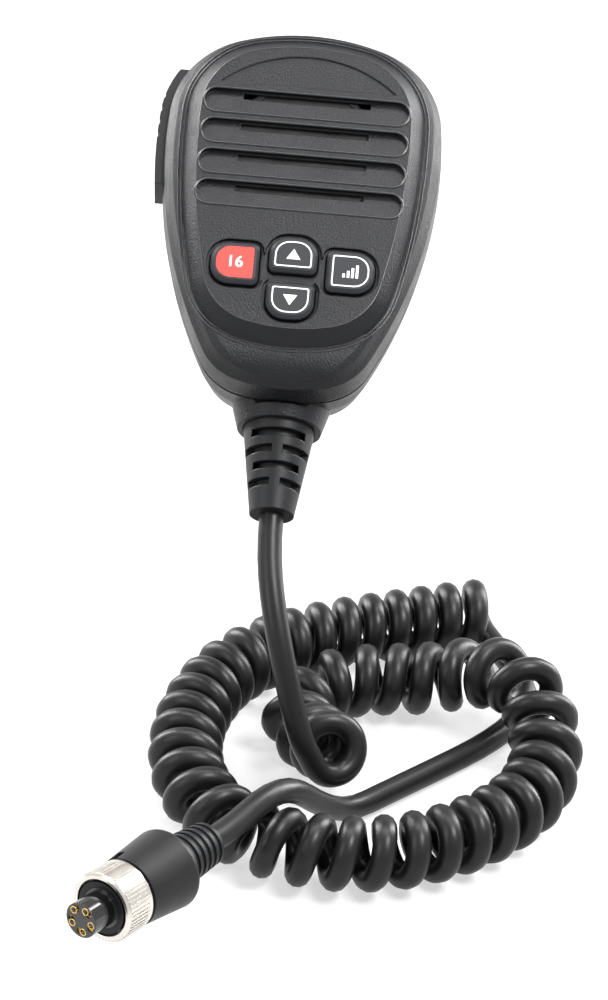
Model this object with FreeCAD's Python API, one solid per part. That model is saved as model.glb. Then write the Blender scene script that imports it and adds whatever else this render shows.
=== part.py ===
import FreeCAD, Part
import math
import os
from FreeCAD import Vector

# Handset with speaker grille, four keys and a talk key, on a curly cord with a round connector.
# Handset frame: X to the viewer's right, Y into the handset, Z up along the body, and the
# origin at the centre of the hanger stud's outer face. The whole handset then leans back.

UP = Vector(0, 0, 1)
INWARD = Vector(0, 1, 0)

# Driving dimensions, in millimetres and degrees
LEAN = 54.0
HALF_WIDTH = 34.2
TOP_Z = 32.0
BOTTOM_Z = -64.8
TOP_RADIUS = 55.0
SHOULDER_RADIUS = 24.0
SIDE_RADIUS = 120.0
JAW_RADIUS = 15.0
BOTTOM_RADIUS = 45.0
WALL = 2.2
CLEARANCE = 0.3
FRONT_DEPTH = 15.3
REAR_DEPTH = 19.2
STUD_HEAD_RADIUS = 8.0
STUD_HEAD_THICK = 2.6
STUD_NECK_RADIUS = 4.8
STUD_NECK_LENGTH = 3.0
STUD_SCREW_RADIUS = 1.9
STUD_SCREW_LENGTH = 9.0
GASKET_THICK = 0.8

# Fascia: the raised island on the front
FASCIA_HALF_WIDTH = 25.7
FASCIA_TOP_Z = 23.6
FASCIA_BOTTOM_Z = -52.0
FASCIA_RISE = 3.6
FASCIA_BEVEL = 3.4
FASCIA_SIDE_RADIUS = 175.0
FASCIA_SHOULDER_RADIUS = 17.0
FASCIA_JAW_RADIUS = 15.0
CHIN_DROP = 5.0

# Speaker grille
GROOVE_COUNT = 4
GROOVE_TOP_Z = 7.5
GROOVE_PITCH = 8.33
GROOVE_HEIGHT = 6.4
GROOVE_LENGTH = 50.0
GROOVE_DEPTH = 1.3
SLOT_HEIGHT = 1.7
SLOT_LENGTH = 31.0
CREST_HALF_WIDTH = 21.5
CREST_BASE_Z = 12.6
CREST_RISE = 8.4
CREST_DEPTH = 0.35

# Keys
KEY_WIDTH = 11.6
KEY_HEIGHT = 10.8
KEY_SIDE_X = 13.9
KEY_SIDE_Z = -36.2
KEY_UP_Z = -32.9
KEY_DOWN_Z = -45.0
KEY_CENTRE_HEIGHT = 9.4
KEY_ROUND_RADIUS = 4.6
KEY_SMALL_RADIUS = 1.6
KEY_PROUD = 0.9
KEY_FLANGE = 0.7
KEY_FLANGE_THICK = 1.0
KEY_STEM_RADIUS = 1.6
KEY_TRAVEL = 0.8
KEYPAD_RECESS = 0.9
KEYPAD_MARGIN = 1.0
DOME_RADIUS = 2.6
DOME_HEIGHT = 0.7

# Circuit board and what it carries
BOARD_THICK = 1.6
BOARD_MARGIN = 3.4
BOARD_TOP_Z = -22.0
BOARD_GAP = 7.4
BOARD_SCREW_X = 20.5
BOARD_SCREW_TOP_Z = -26.5
BOARD_SCREW_LOW_X = 13.0
BOARD_SCREW_LOW_Z = -48.6
SCREW_HEAD_RADIUS = 2.2
SCREW_HEAD_THICK = 1.4
SCREW_SHANK_RADIUS = 1.1
HEADER_WIDTH = 14.0
HEADER_HEIGHT = 4.5
HEADER_DEPTH = 4.0
HEADER_Z = -44.5
HEADER_WALL = 1.0

# Speaker and microphone
SPEAKER_RADIUS = 18.0
SPEAKER_RIM = 2.4
SPEAKER_DEPTH = 3.4
SPEAKER_Z = -5.0
MAGNET_RADIUS = 8.0
MAGNET_THICK = 2.4
CONE_THICK = 0.5
MEMBRANE_THICK = 0.4
MIC_RADIUS = 3.0
MIC_LENGTH = 2.7
MIC_WALL = 0.6
MIC_X = -13.0
MIC_Z = -26.2

# Talk key on the left flank
TALK_TOP_Z = 20.0
TALK_BOTTOM_Z = -12.0
TALK_PROUD = 1.9
TALK_THICK = 3.6
TALK_DEPTH = 11.0
TALK_PIN_RADIUS = 1.2
TALK_PIN_Z = -9.0
TALK_PIN_REACH = 1.4
TALK_PIN_INSET = 2.0
TALK_LUG_WALL = 0.7
TALK_SWING = 2.3
TALK_RIB_COUNT = 5
TALK_RIB_PITCH = 3.6
PIN_FIT = 0.05
SEAL_THICK = 0.8
SWITCH_WIDTH = 6.0
SWITCH_HEIGHT = 6.0
SWITCH_DEPTH = 3.5

# Housing screws
HOUSING_SCREW_X = 15.0
HOUSING_SCREW_TOP_Z = 18.5
HOUSING_SCREW_LOW_X = 13.0
HOUSING_SCREW_LOW_Z = -55.0
HOUSING_SCREW_LENGTH = 17.0
BOSS_RADIUS = 3.2

# Strain relief, collar and clamp
RELIEF_DEPTH_Y = 9.3
COLLAR_RADIUS = 10.2
COLLAR_ROOT_RADIUS = 13.6
COLLAR_LENGTH = 3.4
RELIEF_ROOT_RADIUS = 8.7
RELIEF_END_RADIUS = 5.4
RELIEF_LENGTH = 22.0
RELIEF_FLANGE_THICK = 2.0
RELIEF_FLANGE_EXTRA = 1.4
RELIEF_SLOT = 1.9
RELIEF_SLOT_PITCH = 4.1
RELIEF_SLOT_COUNT = 4
RELIEF_FIRST_SLOT = 3.2
RELIEF_SLOT_DEPTH = 1.7
RELIEF_BRIDGE = 1.3
RELIEF_SIDE_SHARE = 0.78
CLAMP_WIDTH = 15.0
CLAMP_THICK = 1.8

# Cord
WIRE_RADIUS = 3.0
CURL_RADIUS = 6.3
CURL_GAP = 0.9
FLOOR_Z = -105.0
CURL_POINTS_PER_TURN = 2
CURL_START_ANGLE = 0.45
OPEN_STATIONS = 30
OPEN_PITCH = 2.6
SECTION_SIDES = 8

# Connector, along its own axis from the cable end
BOOT_ROOT_RADIUS = 6.4
BOOT_END_RADIUS = 5.2
BOOT_LENGTH = 13.5
BOOT_RIB = 0.5
BOOT_RIB_PITCH = 2.2
BOOT_RIB_COUNT = 5
BODY_RADIUS = 9.6
BODY_FRONT_RADIUS = 8.3
BODY_LENGTH = 15.5
NUT_RADIUS = 8.2
NUT_BORE = 6.9
NUT_LENGTH = 8.6
INSERT_RADIUS = 4.2
INSERT_LENGTH = 18.0
INSERT_SEAT_RADIUS = 4.8
INSERT_PLUG_LENGTH = 7.0
CONTACT_COUNT = 5
CONTACT_RING = 2.85
CONTACT_HOLE_RADIUS = 0.8
CONTACT_RADIUS = 0.75
CONTACT_BORE = 0.45
CONTACT_LENGTH = 8.0
SLEEVE_RADIUS = 6.3
SLEEVE_LENGTH = 9.0
RING_THICK = 0.8
CONNECTOR_DIRECTION = Vector(-0.567, -0.82, 0.087)

# Depths worked out from the sizes above
BACK_Y = -(STUD_HEAD_THICK + STUD_NECK_LENGTH)
PART_Y = BACK_Y - REAR_DEPTH
FASCIA_Y = PART_Y - FRONT_DEPTH
SHELF_Y = FASCIA_Y + FASCIA_RISE
INNER_Y = FASCIA_Y + WALL
BOARD_Y = INNER_Y + BOARD_GAP
RELIEF_Y = BACK_Y - RELIEF_DEPTH_Y

# The curly cord's axis: x, y and height above the floor
STRAND = [
    (22.8, -117.5, 19.6), (21.0, -111.0, 16.9), (16.8, -101.5, 12.8), (10.5, -92.0, 10.2), (10.0, -82.0, 9.6),
    (16.0, -72.5, 9.6), (28.0, -67.5, 9.6), (42.0, -66.5, 9.8), (54.0, -67.5, 14.5), (63.0, -73.5, 18.6),
    (69.5, -83.0, 17.2), (72.5, -95.0, 10.6), (70.0, -109.0, 9.6), (61.0, -123.0, 9.6), (46.0, -135.0, 9.6),
    (29.0, -141.5, 9.6), (11.0, -141.0, 9.6), (-5.0, -134.0, 9.6), (-15.0, -118.0, 9.6), (-17.0, -99.0, 9.6),
    (-13.0, -79.0, 9.6), (-3.0, -62.0, 9.6), (15.0, -50.0, 9.6), (35.0, -42.0, 9.6), (53.0, -34.5, 9.6),
    (64.0, -31.5, 9.6), (71.0, -36.0, 9.6), (74.0, -46.0, 9.6),
]

# Free stretches of the cord: x, y and height above the floor
UPPER_ROUTE = [(2.2, -99.3, 50.0), (6.2, -108.0, 38.0)]
LOWER_ROUTE = [
    (68.5, -57.0, 3.2), (66.5, -70.0, 3.2), (57.5, -83.0, 3.2), (45.5, -95.0, 3.2),
    (33.5, -106.6, 3.2), (24.5, -115.5, 3.2), (17.2, -124.5, 11.2), (10.8, -133.0, 21.6),
    (4.6, -142.5, 25.6), (-2.9, -154.2, 23.9),
]


def circles_meet(first, first_radius, second, second_radius, upper):
    """The point right of the middle where two circles in the XZ plane meet, the upper or lower one."""
    gap = second - first
    span = gap.Length
    along = (first_radius ** 2 - second_radius ** 2 + span ** 2) / (2 * span)
    across = math.sqrt(first_radius ** 2 - along ** 2)
    way = gap.normalize()
    side = Vector(-way.z, 0, way.x)
    found = [first + way * along + side * across, first + way * along - side * across]
    found.sort(key=lambda p: p.z)
    return found[1] if upper else found[0]


def egg(y, inset=0.0, half_width=HALF_WIDTH, top=TOP_Z, bottom=BOTTOM_Z,
        shoulder=SHOULDER_RADIUS, jaw=JAW_RADIUS, side_radius=SIDE_RADIUS):
    """The closed egg outline of tangent arcs at depth y, moved inwards by inset."""
    top_centre = Vector(0, 0, top - TOP_RADIUS)
    side_centre = Vector(half_width - side_radius, 0, 0)
    low_centre = Vector(0, 0, bottom + BOTTOM_RADIUS)
    shoulder_at = circles_meet(top_centre, TOP_RADIUS - shoulder, side_centre, side_radius - shoulder, True)
    jaw_at = circles_meet(low_centre, BOTTOM_RADIUS - jaw, side_centre, side_radius - jaw, False)

    def on(centre, radius, toward):
        return centre + (toward - centre).normalize() * (radius - inset)

    def middle(centre, radius, start, end):
        return centre + ((start - centre) + (end - centre)).normalize() * (radius - inset)

    right_top = on(top_centre, TOP_RADIUS, shoulder_at)
    right_side_top = on(side_centre, side_radius, shoulder_at)
    right_side_low = on(side_centre, side_radius, jaw_at)
    right_low = on(low_centre, BOTTOM_RADIUS, jaw_at)
    half = [
        (right_top, middle(shoulder_at, shoulder, right_top, right_side_top), right_side_top),
        (right_side_top, middle(side_centre, side_radius, right_side_top, right_side_low), right_side_low),
        (right_side_low, middle(jaw_at, jaw, right_side_low, right_low), right_low),
    ]

    def flip(p):
        return Vector(-p.x, p.y, p.z)

    arcs = list(half)
    arcs.append((right_low, Vector(0, 0, bottom + inset), flip(right_low)))
    for start, mid, end in reversed(half):
        arcs.append((flip(end), flip(mid), flip(start)))
    arcs.append((flip(right_top), Vector(0, 0, top - inset), right_top))
    lift = Vector(0, y, 0)
    return Part.Wire([Part.Arc(a + lift, m + lift, b + lift).toShape() for a, m, b in arcs])


def body_loft(levels, **shape):
    """A solid through egg outlines, each level a depth and an inset."""
    return Part.makeLoft([egg(y, inset, **shape) for y, inset in levels], True, True)


def fascia_egg(y, inset):
    """The fascia's outline at depth y; a negative inset goes down its bevel."""
    return egg(y, inset, FASCIA_HALF_WIDTH, FASCIA_TOP_Z, FASCIA_BOTTOM_Z,
               FASCIA_SHOULDER_RADIUS, FASCIA_JAW_RADIUS, FASCIA_SIDE_RADIUS)


def prism(wire, depth):
    return Part.Face(wire).extrude(Vector(0, depth, 0))


def rod(radius, length, at, way=INWARD):
    return Part.makeCylinder(radius, length, at, way)


def block(x0, x1, y0, y1, z0, z1):
    return Part.makeBox(x1 - x0, y1 - y0, z1 - z0, Vector(x0, y0, z0))


def rounded(x, z, width, height, y, corners):
    """A rounded rectangle in the XZ plane; corners are the radii from lower left, anticlockwise."""
    low_left, low_right, top_right, top_left = corners
    x0, x1 = x - width / 2, x + width / 2
    z0, z1 = z - height / 2, z + height / 2
    k = 1 - math.sqrt(0.5)
    spots = [
        (Vector(x0 + low_left, y, z0), Vector(x1 - low_right, y, z0)),
        (Vector(x1, y, z0 + low_right), Vector(x1, y, z1 - top_right)),
        (Vector(x1 - top_right, y, z1), Vector(x0 + top_left, y, z1)),
        (Vector(x0, y, z1 - top_left), Vector(x0, y, z0 + low_left)),
    ]
    bends = [
        Vector(x1 - low_right * k, y, z0 + low_right * k), Vector(x1 - top_right * k, y, z1 - top_right * k),
        Vector(x0 + top_left * k, y, z1 - top_left * k), Vector(x0 + low_left * k, y, z0 + low_left * k),
    ]
    edges = []
    for i, (start, end) in enumerate(spots):
        if (end - start).Length > 0.01:
            edges.append(Part.LineSegment(start, end).toShape())
        edges.append(Part.Arc(end, bends[i], spots[(i + 1) % 4][0]).toShape())
    return Part.Wire(edges)


def keys():
    """Each key's name, centre and corner radii: the outer side of each key is the rounder one."""
    big, small = KEY_ROUND_RADIUS, KEY_SMALL_RADIUS
    return [
        ("key_channel_16", -KEY_SIDE_X, KEY_SIDE_Z, KEY_HEIGHT, (big, small, small, big)),
        ("key_up", 0.0, KEY_UP_Z, KEY_CENTRE_HEIGHT, (small, small, big, big)),
        ("key_down", 0.0, KEY_DOWN_Z, KEY_CENTRE_HEIGHT, (big, big, small, small)),
        ("key_power_level", KEY_SIDE_X, KEY_SIDE_Z, KEY_HEIGHT, (small, big, big, small)),
    ]


def housing_screw_places():
    low = HOUSING_SCREW_LOW_X
    high = HOUSING_SCREW_X
    return [(-high, HOUSING_SCREW_TOP_Z), (high, HOUSING_SCREW_TOP_Z),
            (-low, HOUSING_SCREW_LOW_Z), (low, HOUSING_SCREW_LOW_Z)]


def board_screw_places():
    return [(-BOARD_SCREW_X, BOARD_SCREW_TOP_Z), (BOARD_SCREW_X, BOARD_SCREW_TOP_Z),
            (-BOARD_SCREW_LOW_X, BOARD_SCREW_LOW_Z), (BOARD_SCREW_LOW_X, BOARD_SCREW_LOW_Z)]


def talk_window(margin):
    """The space of the talk key and its swing in the left flank, widened by margin."""
    low = PART_Y - TALK_DEPTH / 2 - margin
    span = TALK_DEPTH + 2 * margin
    band = prism(egg(low, -10), span).cut(prism(egg(low - 1, window_inset()), span + 2))
    bottom, top = TALK_BOTTOM_Z - margin, TALK_TOP_Z + margin
    return band.common(block(-HALF_WIDTH - 12, 0, low - 1, low + span + 1, bottom, top))


def window_inset():
    return TALK_THICK - TALK_PROUD + TALK_SWING


def chin_profile(depth, reach):
    """The handset's side view, extruded across it: flat under the fascia, then curving down to the chin."""
    y = SHELF_Y + depth
    start_z = FASCIA_BOTTOM_Z - FASCIA_BEVEL
    low = Vector(-reach, y + CHIN_DROP, BOTTOM_Z + depth)
    start = Vector(-reach, y, start_z)
    mid_z = (start_z + low.z) / 2 - 0.6
    back_low = Vector(-reach, BACK_Y + 5, low.z - 3)
    back_top = Vector(-reach, BACK_Y + 5, TOP_Z + 5)
    front_top = Vector(-reach, y, TOP_Z + 5)
    edges = [
        Part.LineSegment(front_top, start).toShape(),
        Part.Arc(start, Vector(-reach, y + CHIN_DROP * 0.24, mid_z), low).toShape(),
        Part.LineSegment(low, back_low).toShape(),
        Part.LineSegment(back_low, back_top).toShape(),
        Part.LineSegment(back_top, front_top).toShape(),
    ]
    return Part.Face(Part.Wire(edges)).extrude(Vector(2 * reach, 0, 0))


def groove_z(index):
    return GROOVE_TOP_Z - index * GROOVE_PITCH


def front_housing():
    """The front shell: drafted flanks, the raised fascia, the curved chin and the speaker grille."""
    outer = body_loft([(PART_Y, 0), (PART_Y - 7, 0.5), (SHELF_Y + 3, 1.6), (SHELF_Y + 1, 2.6),
                       (SHELF_Y, 4.2)])
    outer = outer.common(chin_profile(0, HALF_WIDTH + 5))
    island = Part.makeLoft([fascia_egg(FASCIA_Y, 0), fascia_egg(SHELF_Y, -FASCIA_BEVEL),
                            fascia_egg(SHELF_Y + 1, -FASCIA_BEVEL)], True, True)
    shell = outer.fuse(island)
    hollow = body_loft([(PART_Y + 1, WALL), (PART_Y - 7, WALL + 0.5), (SHELF_Y + WALL, WALL + 3.4)])
    hollow = hollow.common(chin_profile(WALL, HALF_WIDTH + 5))
    pocket = prism(fascia_egg(INNER_Y, -0.6), SHELF_Y + WALL + 1 - INNER_Y)
    shell = shell.cut(hollow).cut(pocket)
    shell = shell.cut(groove_tools()).cut(keypad_tools()).cut(crest_tool())
    for x, z in housing_screw_places():
        boss = rod(BOSS_RADIUS, PART_Y - 1 - INNER_Y, Vector(x, INNER_Y - 0.2, z))
        if z < FASCIA_BOTTOM_Z:
            boss = boss.common(chin_profile(WALL / 2, HALF_WIDTH))
        boss = boss.cut(rod(SCREW_SHANK_RADIUS + 0.4, 12, Vector(x, PART_Y - 10, z)))
        shell = shell.fuse(boss)
    for x, z in board_screw_places():
        post = rod(SCREW_SHANK_RADIUS + 1.2, BOARD_Y - INNER_Y + 0.2, Vector(x, INNER_Y - 0.2, z))
        shell = shell.fuse(post.cut(rod(SCREW_SHANK_RADIUS, 6, Vector(x, BOARD_Y - 5, z))))
    seat = rod(SPEAKER_RADIUS + 1.4, 2.0, Vector(0, INNER_Y - 0.2, SPEAKER_Z))
    seat = seat.cut(rod(SPEAKER_RADIUS + 0.1, 2.4, Vector(0, INNER_Y - 0.3, SPEAKER_Z)))
    shell = shell.fuse(seat)
    pin = talk_pin_place() - Vector(0, TALK_DEPTH / 2 + TALK_PIN_REACH, 0)
    shell = shell.cut(rod(TALK_PIN_RADIUS, TALK_DEPTH + 2 * TALK_PIN_REACH, pin))
    return shell.cut(talk_window(CLEARANCE))


def groove_tools():
    """The grille's pill-shaped grooves with sloping floors, each with a sound slot through its floor."""
    tools = []
    for i in range(GROOVE_COUNT):
        z = groove_z(i)
        end = GROOVE_HEIGHT / 2
        outline = rounded(0, z, GROOVE_LENGTH, GROOVE_HEIGHT, FASCIA_Y - 1, (end - 0.1,) * 4)
        pill = prism(outline, GROOVE_DEPTH + 1)
        side = -GROOVE_LENGTH
        slope = Part.Face(Part.makePolygon([
            Vector(side, FASCIA_Y - 2, z - end - 1), Vector(side, FASCIA_Y + 0.25, z - end),
            Vector(side, FASCIA_Y + GROOVE_DEPTH, z + end), Vector(side, FASCIA_Y - 2, z + end + 1),
            Vector(side, FASCIA_Y - 2, z - end - 1)])).extrude(Vector(2 * GROOVE_LENGTH, 0, 0))
        tools.append(pill.common(slope))
        slot_z = z + end - 0.5 - SLOT_HEIGHT / 2
        tools.append(block(-SLOT_LENGTH / 2, SLOT_LENGTH / 2, FASCIA_Y - 1, INNER_Y + 1,
                           slot_z - SLOT_HEIGHT / 2, slot_z + SLOT_HEIGHT / 2))
    return tools


def crest_tool():
    """The bare shallow panel above the grille: an arch over a straight lower edge."""
    left = Vector(-CREST_HALF_WIDTH, FASCIA_Y - 1, CREST_BASE_Z)
    right = Vector(CREST_HALF_WIDTH, FASCIA_Y - 1, CREST_BASE_Z)
    arch = Part.Arc(right, Vector(0, FASCIA_Y - 1, CREST_BASE_Z + CREST_RISE), left).toShape()
    return prism(Part.Wire([Part.LineSegment(left, right).toShape(), arch]), CREST_DEPTH + 1)


def keypad_tools():
    """The lobed recess round the keys, and each key's hole through the fascia."""
    tools = []
    for name, x, z, height, corners in keys():
        grown = tuple(c + KEYPAD_MARGIN for c in corners)
        tools.append(prism(rounded(x, z, KEY_WIDTH + 2 * KEYPAD_MARGIN, height + 2 * KEYPAD_MARGIN,
                                   FASCIA_Y - 1, grown), KEYPAD_RECESS + 1))
        hole = tuple(c + CLEARANCE for c in corners)
        tools.append(prism(rounded(x, z, KEY_WIDTH + 2 * CLEARANCE, height + 2 * CLEARANCE,
                                   FASCIA_Y - 1, hole), WALL + 2))
    tools.append(block(-KEY_SIDE_X, KEY_SIDE_X, FASCIA_Y - 1, FASCIA_Y + KEYPAD_RECESS,
                       KEY_SIDE_Z - 3.4, KEY_SIDE_Z + 3.4))
    return tools


def key(x, z, height, corners):
    """A rubber key: a crowned cap, a flange behind the fascia and a stem that presses its dome."""
    top_y = FASCIA_Y - KEY_PROUD
    cap = prism(rounded(x, z, KEY_WIDTH, height, top_y, corners), INNER_Y + CLEARANCE - top_y)
    crown = Part.makeLoft([
        rounded(x, z, KEY_WIDTH - 1.6, height - 1.6, top_y - 0.01, tuple(c - 0.5 for c in corners)),
        rounded(x, z, KEY_WIDTH, height, top_y + 0.8, corners)], True, True)
    cap = cap.cut(block(x - 9, x + 9, top_y - 1, top_y + 0.8, z - 9, z + 9)).fuse(crown)
    flange = prism(rounded(x, z, KEY_WIDTH + 2 * KEY_FLANGE, height + 2 * KEY_FLANGE, INNER_Y + CLEARANCE,
                           tuple(c + KEY_FLANGE for c in corners)), KEY_FLANGE_THICK)
    stem_end = BOARD_Y - DOME_HEIGHT - CLEARANCE - KEY_TRAVEL
    stem_start = INNER_Y + CLEARANCE + KEY_FLANGE_THICK - 0.2
    stem = rod(KEY_STEM_RADIUS, stem_end - stem_start, Vector(x, stem_start, z))
    return cap.fuse(flange).fuse(stem).removeSplitter()


def key_domes():
    """The four snap domes on the board, one under each key."""
    domes = []
    for name, x, z, height, corners in keys():
        ball_radius = (DOME_RADIUS ** 2 + DOME_HEIGHT ** 2) / (2 * DOME_HEIGHT)
        ball = Part.makeSphere(ball_radius, Vector(x, BOARD_Y - DOME_HEIGHT + ball_radius, z))
        domes.append(ball.common(rod(DOME_RADIUS + 1, DOME_HEIGHT, Vector(x, BOARD_Y - DOME_HEIGHT, z))))
    return Part.makeCompound(domes)


def rear_housing():
    """The rear shell: a rounded back, screw pockets, the stud's boss and the cord's collar."""
    outer = body_loft([(PART_Y + GASKET_THICK, 0), (PART_Y + 7, 0.5), (BACK_Y - 4.5, 2.2),
                       (BACK_Y - 1.5, 4.6), (BACK_Y, 8.0)])
    collar = Part.makeCone(COLLAR_RADIUS, COLLAR_ROOT_RADIUS, COLLAR_LENGTH + 8,
                           Vector(0, RELIEF_Y, BOTTOM_Z - COLLAR_LENGTH), UP)
    below = block(-20, 20, PART_Y - 20, BACK_Y + 10, BOTTOM_Z - 10, BOTTOM_Z - CLEARANCE)
    behind = block(-20, 20, PART_Y + GASKET_THICK, BACK_Y, BOTTOM_Z - 5, BOTTOM_Z + 10)
    collar = collar.common(below).fuse(collar.common(behind))
    hollow = body_loft([(PART_Y - 1, WALL), (PART_Y + 7, WALL + 0.5), (BACK_Y - 4.5, WALL + 2.2),
                        (BACK_Y - WALL, WALL + 5.0)])
    shell = outer.fuse(collar).cut(hollow)
    bore = rod(RELIEF_ROOT_RADIUS + 0.1, 14, Vector(0, RELIEF_Y, BOTTOM_Z - COLLAR_LENGTH - 1), UP)
    shell = shell.cut(bore).cut(relief_pocket(CLEARANCE))
    for x, z in housing_screw_places():
        boss = rod(BOSS_RADIUS, REAR_DEPTH - WALL - 1, Vector(x, PART_Y + 1, z))
        shell = shell.fuse(boss)
        shell = shell.cut(rod(SCREW_SHANK_RADIUS + 0.4, REAR_DEPTH + 4, Vector(x, PART_Y - 1, z)))
        shell = shell.cut(rod(SCREW_HEAD_RADIUS + 0.3, 8, Vector(x, screw_seat_y(), z)))
    stud_boss = rod(STUD_NECK_RADIUS, STUD_SCREW_LENGTH, Vector(0, BACK_Y - STUD_SCREW_LENGTH - 1, 0))
    shell = shell.fuse(stud_boss).cut(rod(STUD_SCREW_RADIUS, 20, Vector(0, BACK_Y - STUD_SCREW_LENGTH, 0)))
    pin = talk_pin_place() - Vector(0, TALK_DEPTH / 2 + TALK_PIN_REACH, 0)
    shell = shell.cut(rod(TALK_PIN_RADIUS, TALK_DEPTH + 2 * TALK_PIN_REACH, pin))
    return shell.cut(talk_window(CLEARANCE))


def screw_seat_y():
    return BACK_Y - 6.0


def pan_screw(x, z, seat_y, length):
    """A pan-head screw driven towards the front, its head's underside at seat_y."""
    head = rod(SCREW_HEAD_RADIUS, SCREW_HEAD_THICK, Vector(x, seat_y, z))
    return head.fuse(rod(SCREW_SHANK_RADIUS, length, Vector(x, seat_y - length, z)))


def housing_gasket():
    """The seal between the shells."""
    ring = prism(egg(PART_Y, 0.3), GASKET_THICK).cut(prism(egg(PART_Y - 1, WALL - 0.3), GASKET_THICK + 2))
    return ring.cut(talk_window(CLEARANCE))


def hanger_stud():
    """The mushroom stud on the back that drops into a hang-up clip."""
    head = rod(STUD_HEAD_RADIUS, STUD_HEAD_THICK, Vector(0, -STUD_HEAD_THICK, 0))
    neck = rod(STUD_NECK_RADIUS, STUD_NECK_LENGTH + 0.01, Vector(0, BACK_Y, 0))
    bore = rod(STUD_SCREW_RADIUS, 8, Vector(0, BACK_Y - 1, 0))
    sink = Part.makeCone(STUD_SCREW_RADIUS, STUD_SCREW_RADIUS + 1.6, 1.6, Vector(0, -1.9, 0), INWARD)
    return head.fuse(neck).cut(bore).cut(sink).cut(rod(STUD_SCREW_RADIUS + 1.6, 1, Vector(0, -0.301, 0)))


def hanger_stud_screw():
    """The countersunk screw that holds the stud."""
    head = Part.makeCone(STUD_SCREW_RADIUS - 0.05, STUD_SCREW_RADIUS + 1.5, 1.5, Vector(0, -1.9, 0), INWARD)
    length = STUD_SCREW_LENGTH + STUD_NECK_LENGTH
    shank = rod(STUD_SCREW_RADIUS - 0.05, length, Vector(0, -1.9 - length + 0.01, 0))
    slot = block(-2.2, 2.2, -1.1, 0.5, -0.35, 0.35)
    return head.fuse(shank).cut(slot).cut(block(-0.35, 0.35, -1.1, 0.5, -2.2, 2.2))


def circuit_board():
    """The board behind the keypad, clear of the bosses."""
    board = prism(egg(BOARD_Y, BOARD_MARGIN + WALL), BOARD_THICK)
    board = board.common(block(-40, 40, BOARD_Y - 1, BOARD_Y + 5, BOTTOM_Z, BOARD_TOP_Z))
    for x, z in housing_screw_places():
        board = board.cut(rod(BOSS_RADIUS + CLEARANCE, 20, Vector(x, BOARD_Y - 5, z)))
    for x, z in board_screw_places():
        board = board.cut(rod(SCREW_SHANK_RADIUS + 0.1, 20, Vector(x, BOARD_Y - 5, z)))
    return board


def board_screws():
    seat = BOARD_Y + BOARD_THICK
    return Part.makeCompound([pan_screw(x, z, seat, 5.0) for x, z in board_screw_places()])


def board_header():
    """The plug-in header on the board's back, where the cord's wires end."""
    y = BOARD_Y + BOARD_THICK
    half, wall = HEADER_WIDTH / 2, HEADER_WALL
    shell = block(-half, half, y, y + HEADER_DEPTH, HEADER_Z, HEADER_Z + HEADER_HEIGHT)
    shell = shell.cut(block(-half + wall, half - wall, y + wall, y + HEADER_DEPTH + wall,
                            HEADER_Z + wall, HEADER_Z + HEADER_HEIGHT - wall))
    pins = []
    for i in range(CONTACT_COUNT):
        x = (i - (CONTACT_COUNT - 1) / 2) * 2.0
        z = HEADER_Z + HEADER_HEIGHT / 2
        pins.append(block(x - 0.3, x + 0.3, y + 0.9, y + HEADER_DEPTH - 0.5, z - 0.3, z + 0.3))
    return shell.fuse(pins)


def spun(points):
    """A solid turned about the speaker's axis from points of radius and depth behind the membrane."""
    y = INNER_Y + MEMBRANE_THICK
    wire = Part.makePolygon([Vector(r, y + d, SPEAKER_Z) for r, d in points + points[:1]])
    return Part.Face(wire).revolve(Vector(0, 0, SPEAKER_Z), Vector(0, 1, 0), 360)


def speaker_basket():
    """The speaker's pressed frame, rim forward."""
    cup = SPEAKER_RADIUS - SPEAKER_RIM
    back = MAGNET_RADIUS + 2.0
    return spun([(cup - 0.7, 0), (SPEAKER_RADIUS, 0), (SPEAKER_RADIUS, 0.8), (cup, 0.8),
                 (back, SPEAKER_DEPTH + 0.8), (0, SPEAKER_DEPTH + 0.8), (0, SPEAKER_DEPTH), (back - 0.7, SPEAKER_DEPTH), (cup - 0.7, 0.8)])


def speaker_cone():
    """The diaphragm: a shallow cone with a flat middle, its edge on the frame."""
    edge = SPEAKER_RADIUS - SPEAKER_RIM - 0.7
    foot = MAGNET_RADIUS
    return spun([(edge, 0.1), (edge, 0.1 + CONE_THICK), (foot, SPEAKER_DEPTH - 0.6), (0, SPEAKER_DEPTH - 0.6),
                 (0, SPEAKER_DEPTH - 0.6 - CONE_THICK), (foot, SPEAKER_DEPTH - 0.6 - CONE_THICK)])


def speaker_magnet():
    y = INNER_Y + MEMBRANE_THICK + SPEAKER_DEPTH + 0.8
    return rod(MAGNET_RADIUS, MAGNET_THICK, Vector(0, y, SPEAKER_Z))


def speaker_membrane():
    """The thin waterproof film between the grille and the speaker."""
    return rod(SPEAKER_RADIUS, MEMBRANE_THICK, Vector(0, INNER_Y, SPEAKER_Z))


def microphone_boot():
    """The rubber cup that holds the microphone against the fascia."""
    cup = rod(MIC_RADIUS + MIC_WALL, MIC_LENGTH + 1.0, Vector(MIC_X, INNER_Y, MIC_Z))
    return cup.cut(rod(MIC_RADIUS, MIC_LENGTH, Vector(MIC_X, INNER_Y - 0.01, MIC_Z)))


def microphone_capsule():
    return rod(MIC_RADIUS, MIC_LENGTH - 0.3, Vector(MIC_X, INNER_Y + 0.2, MIC_Z))


def talk_slab(outset, inset, margin=0.0):
    """A slice of the left flank between two outlines, in the talk key's window."""
    low = PART_Y - TALK_DEPTH / 2
    band = prism(egg(low, -outset), TALK_DEPTH).cut(prism(egg(low - 1, inset), TALK_DEPTH + 2))
    bottom, top = TALK_BOTTOM_Z + margin, TALK_TOP_Z - margin
    window = block(-HALF_WIDTH - 10, 0, low - 1, low + TALK_DEPTH + 1, bottom, top)
    return band.common(window)


def talk_pin_place():
    return Vector(-HALF_WIDTH + TALK_PIN_INSET, PART_Y, TALK_PIN_Z)


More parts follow.
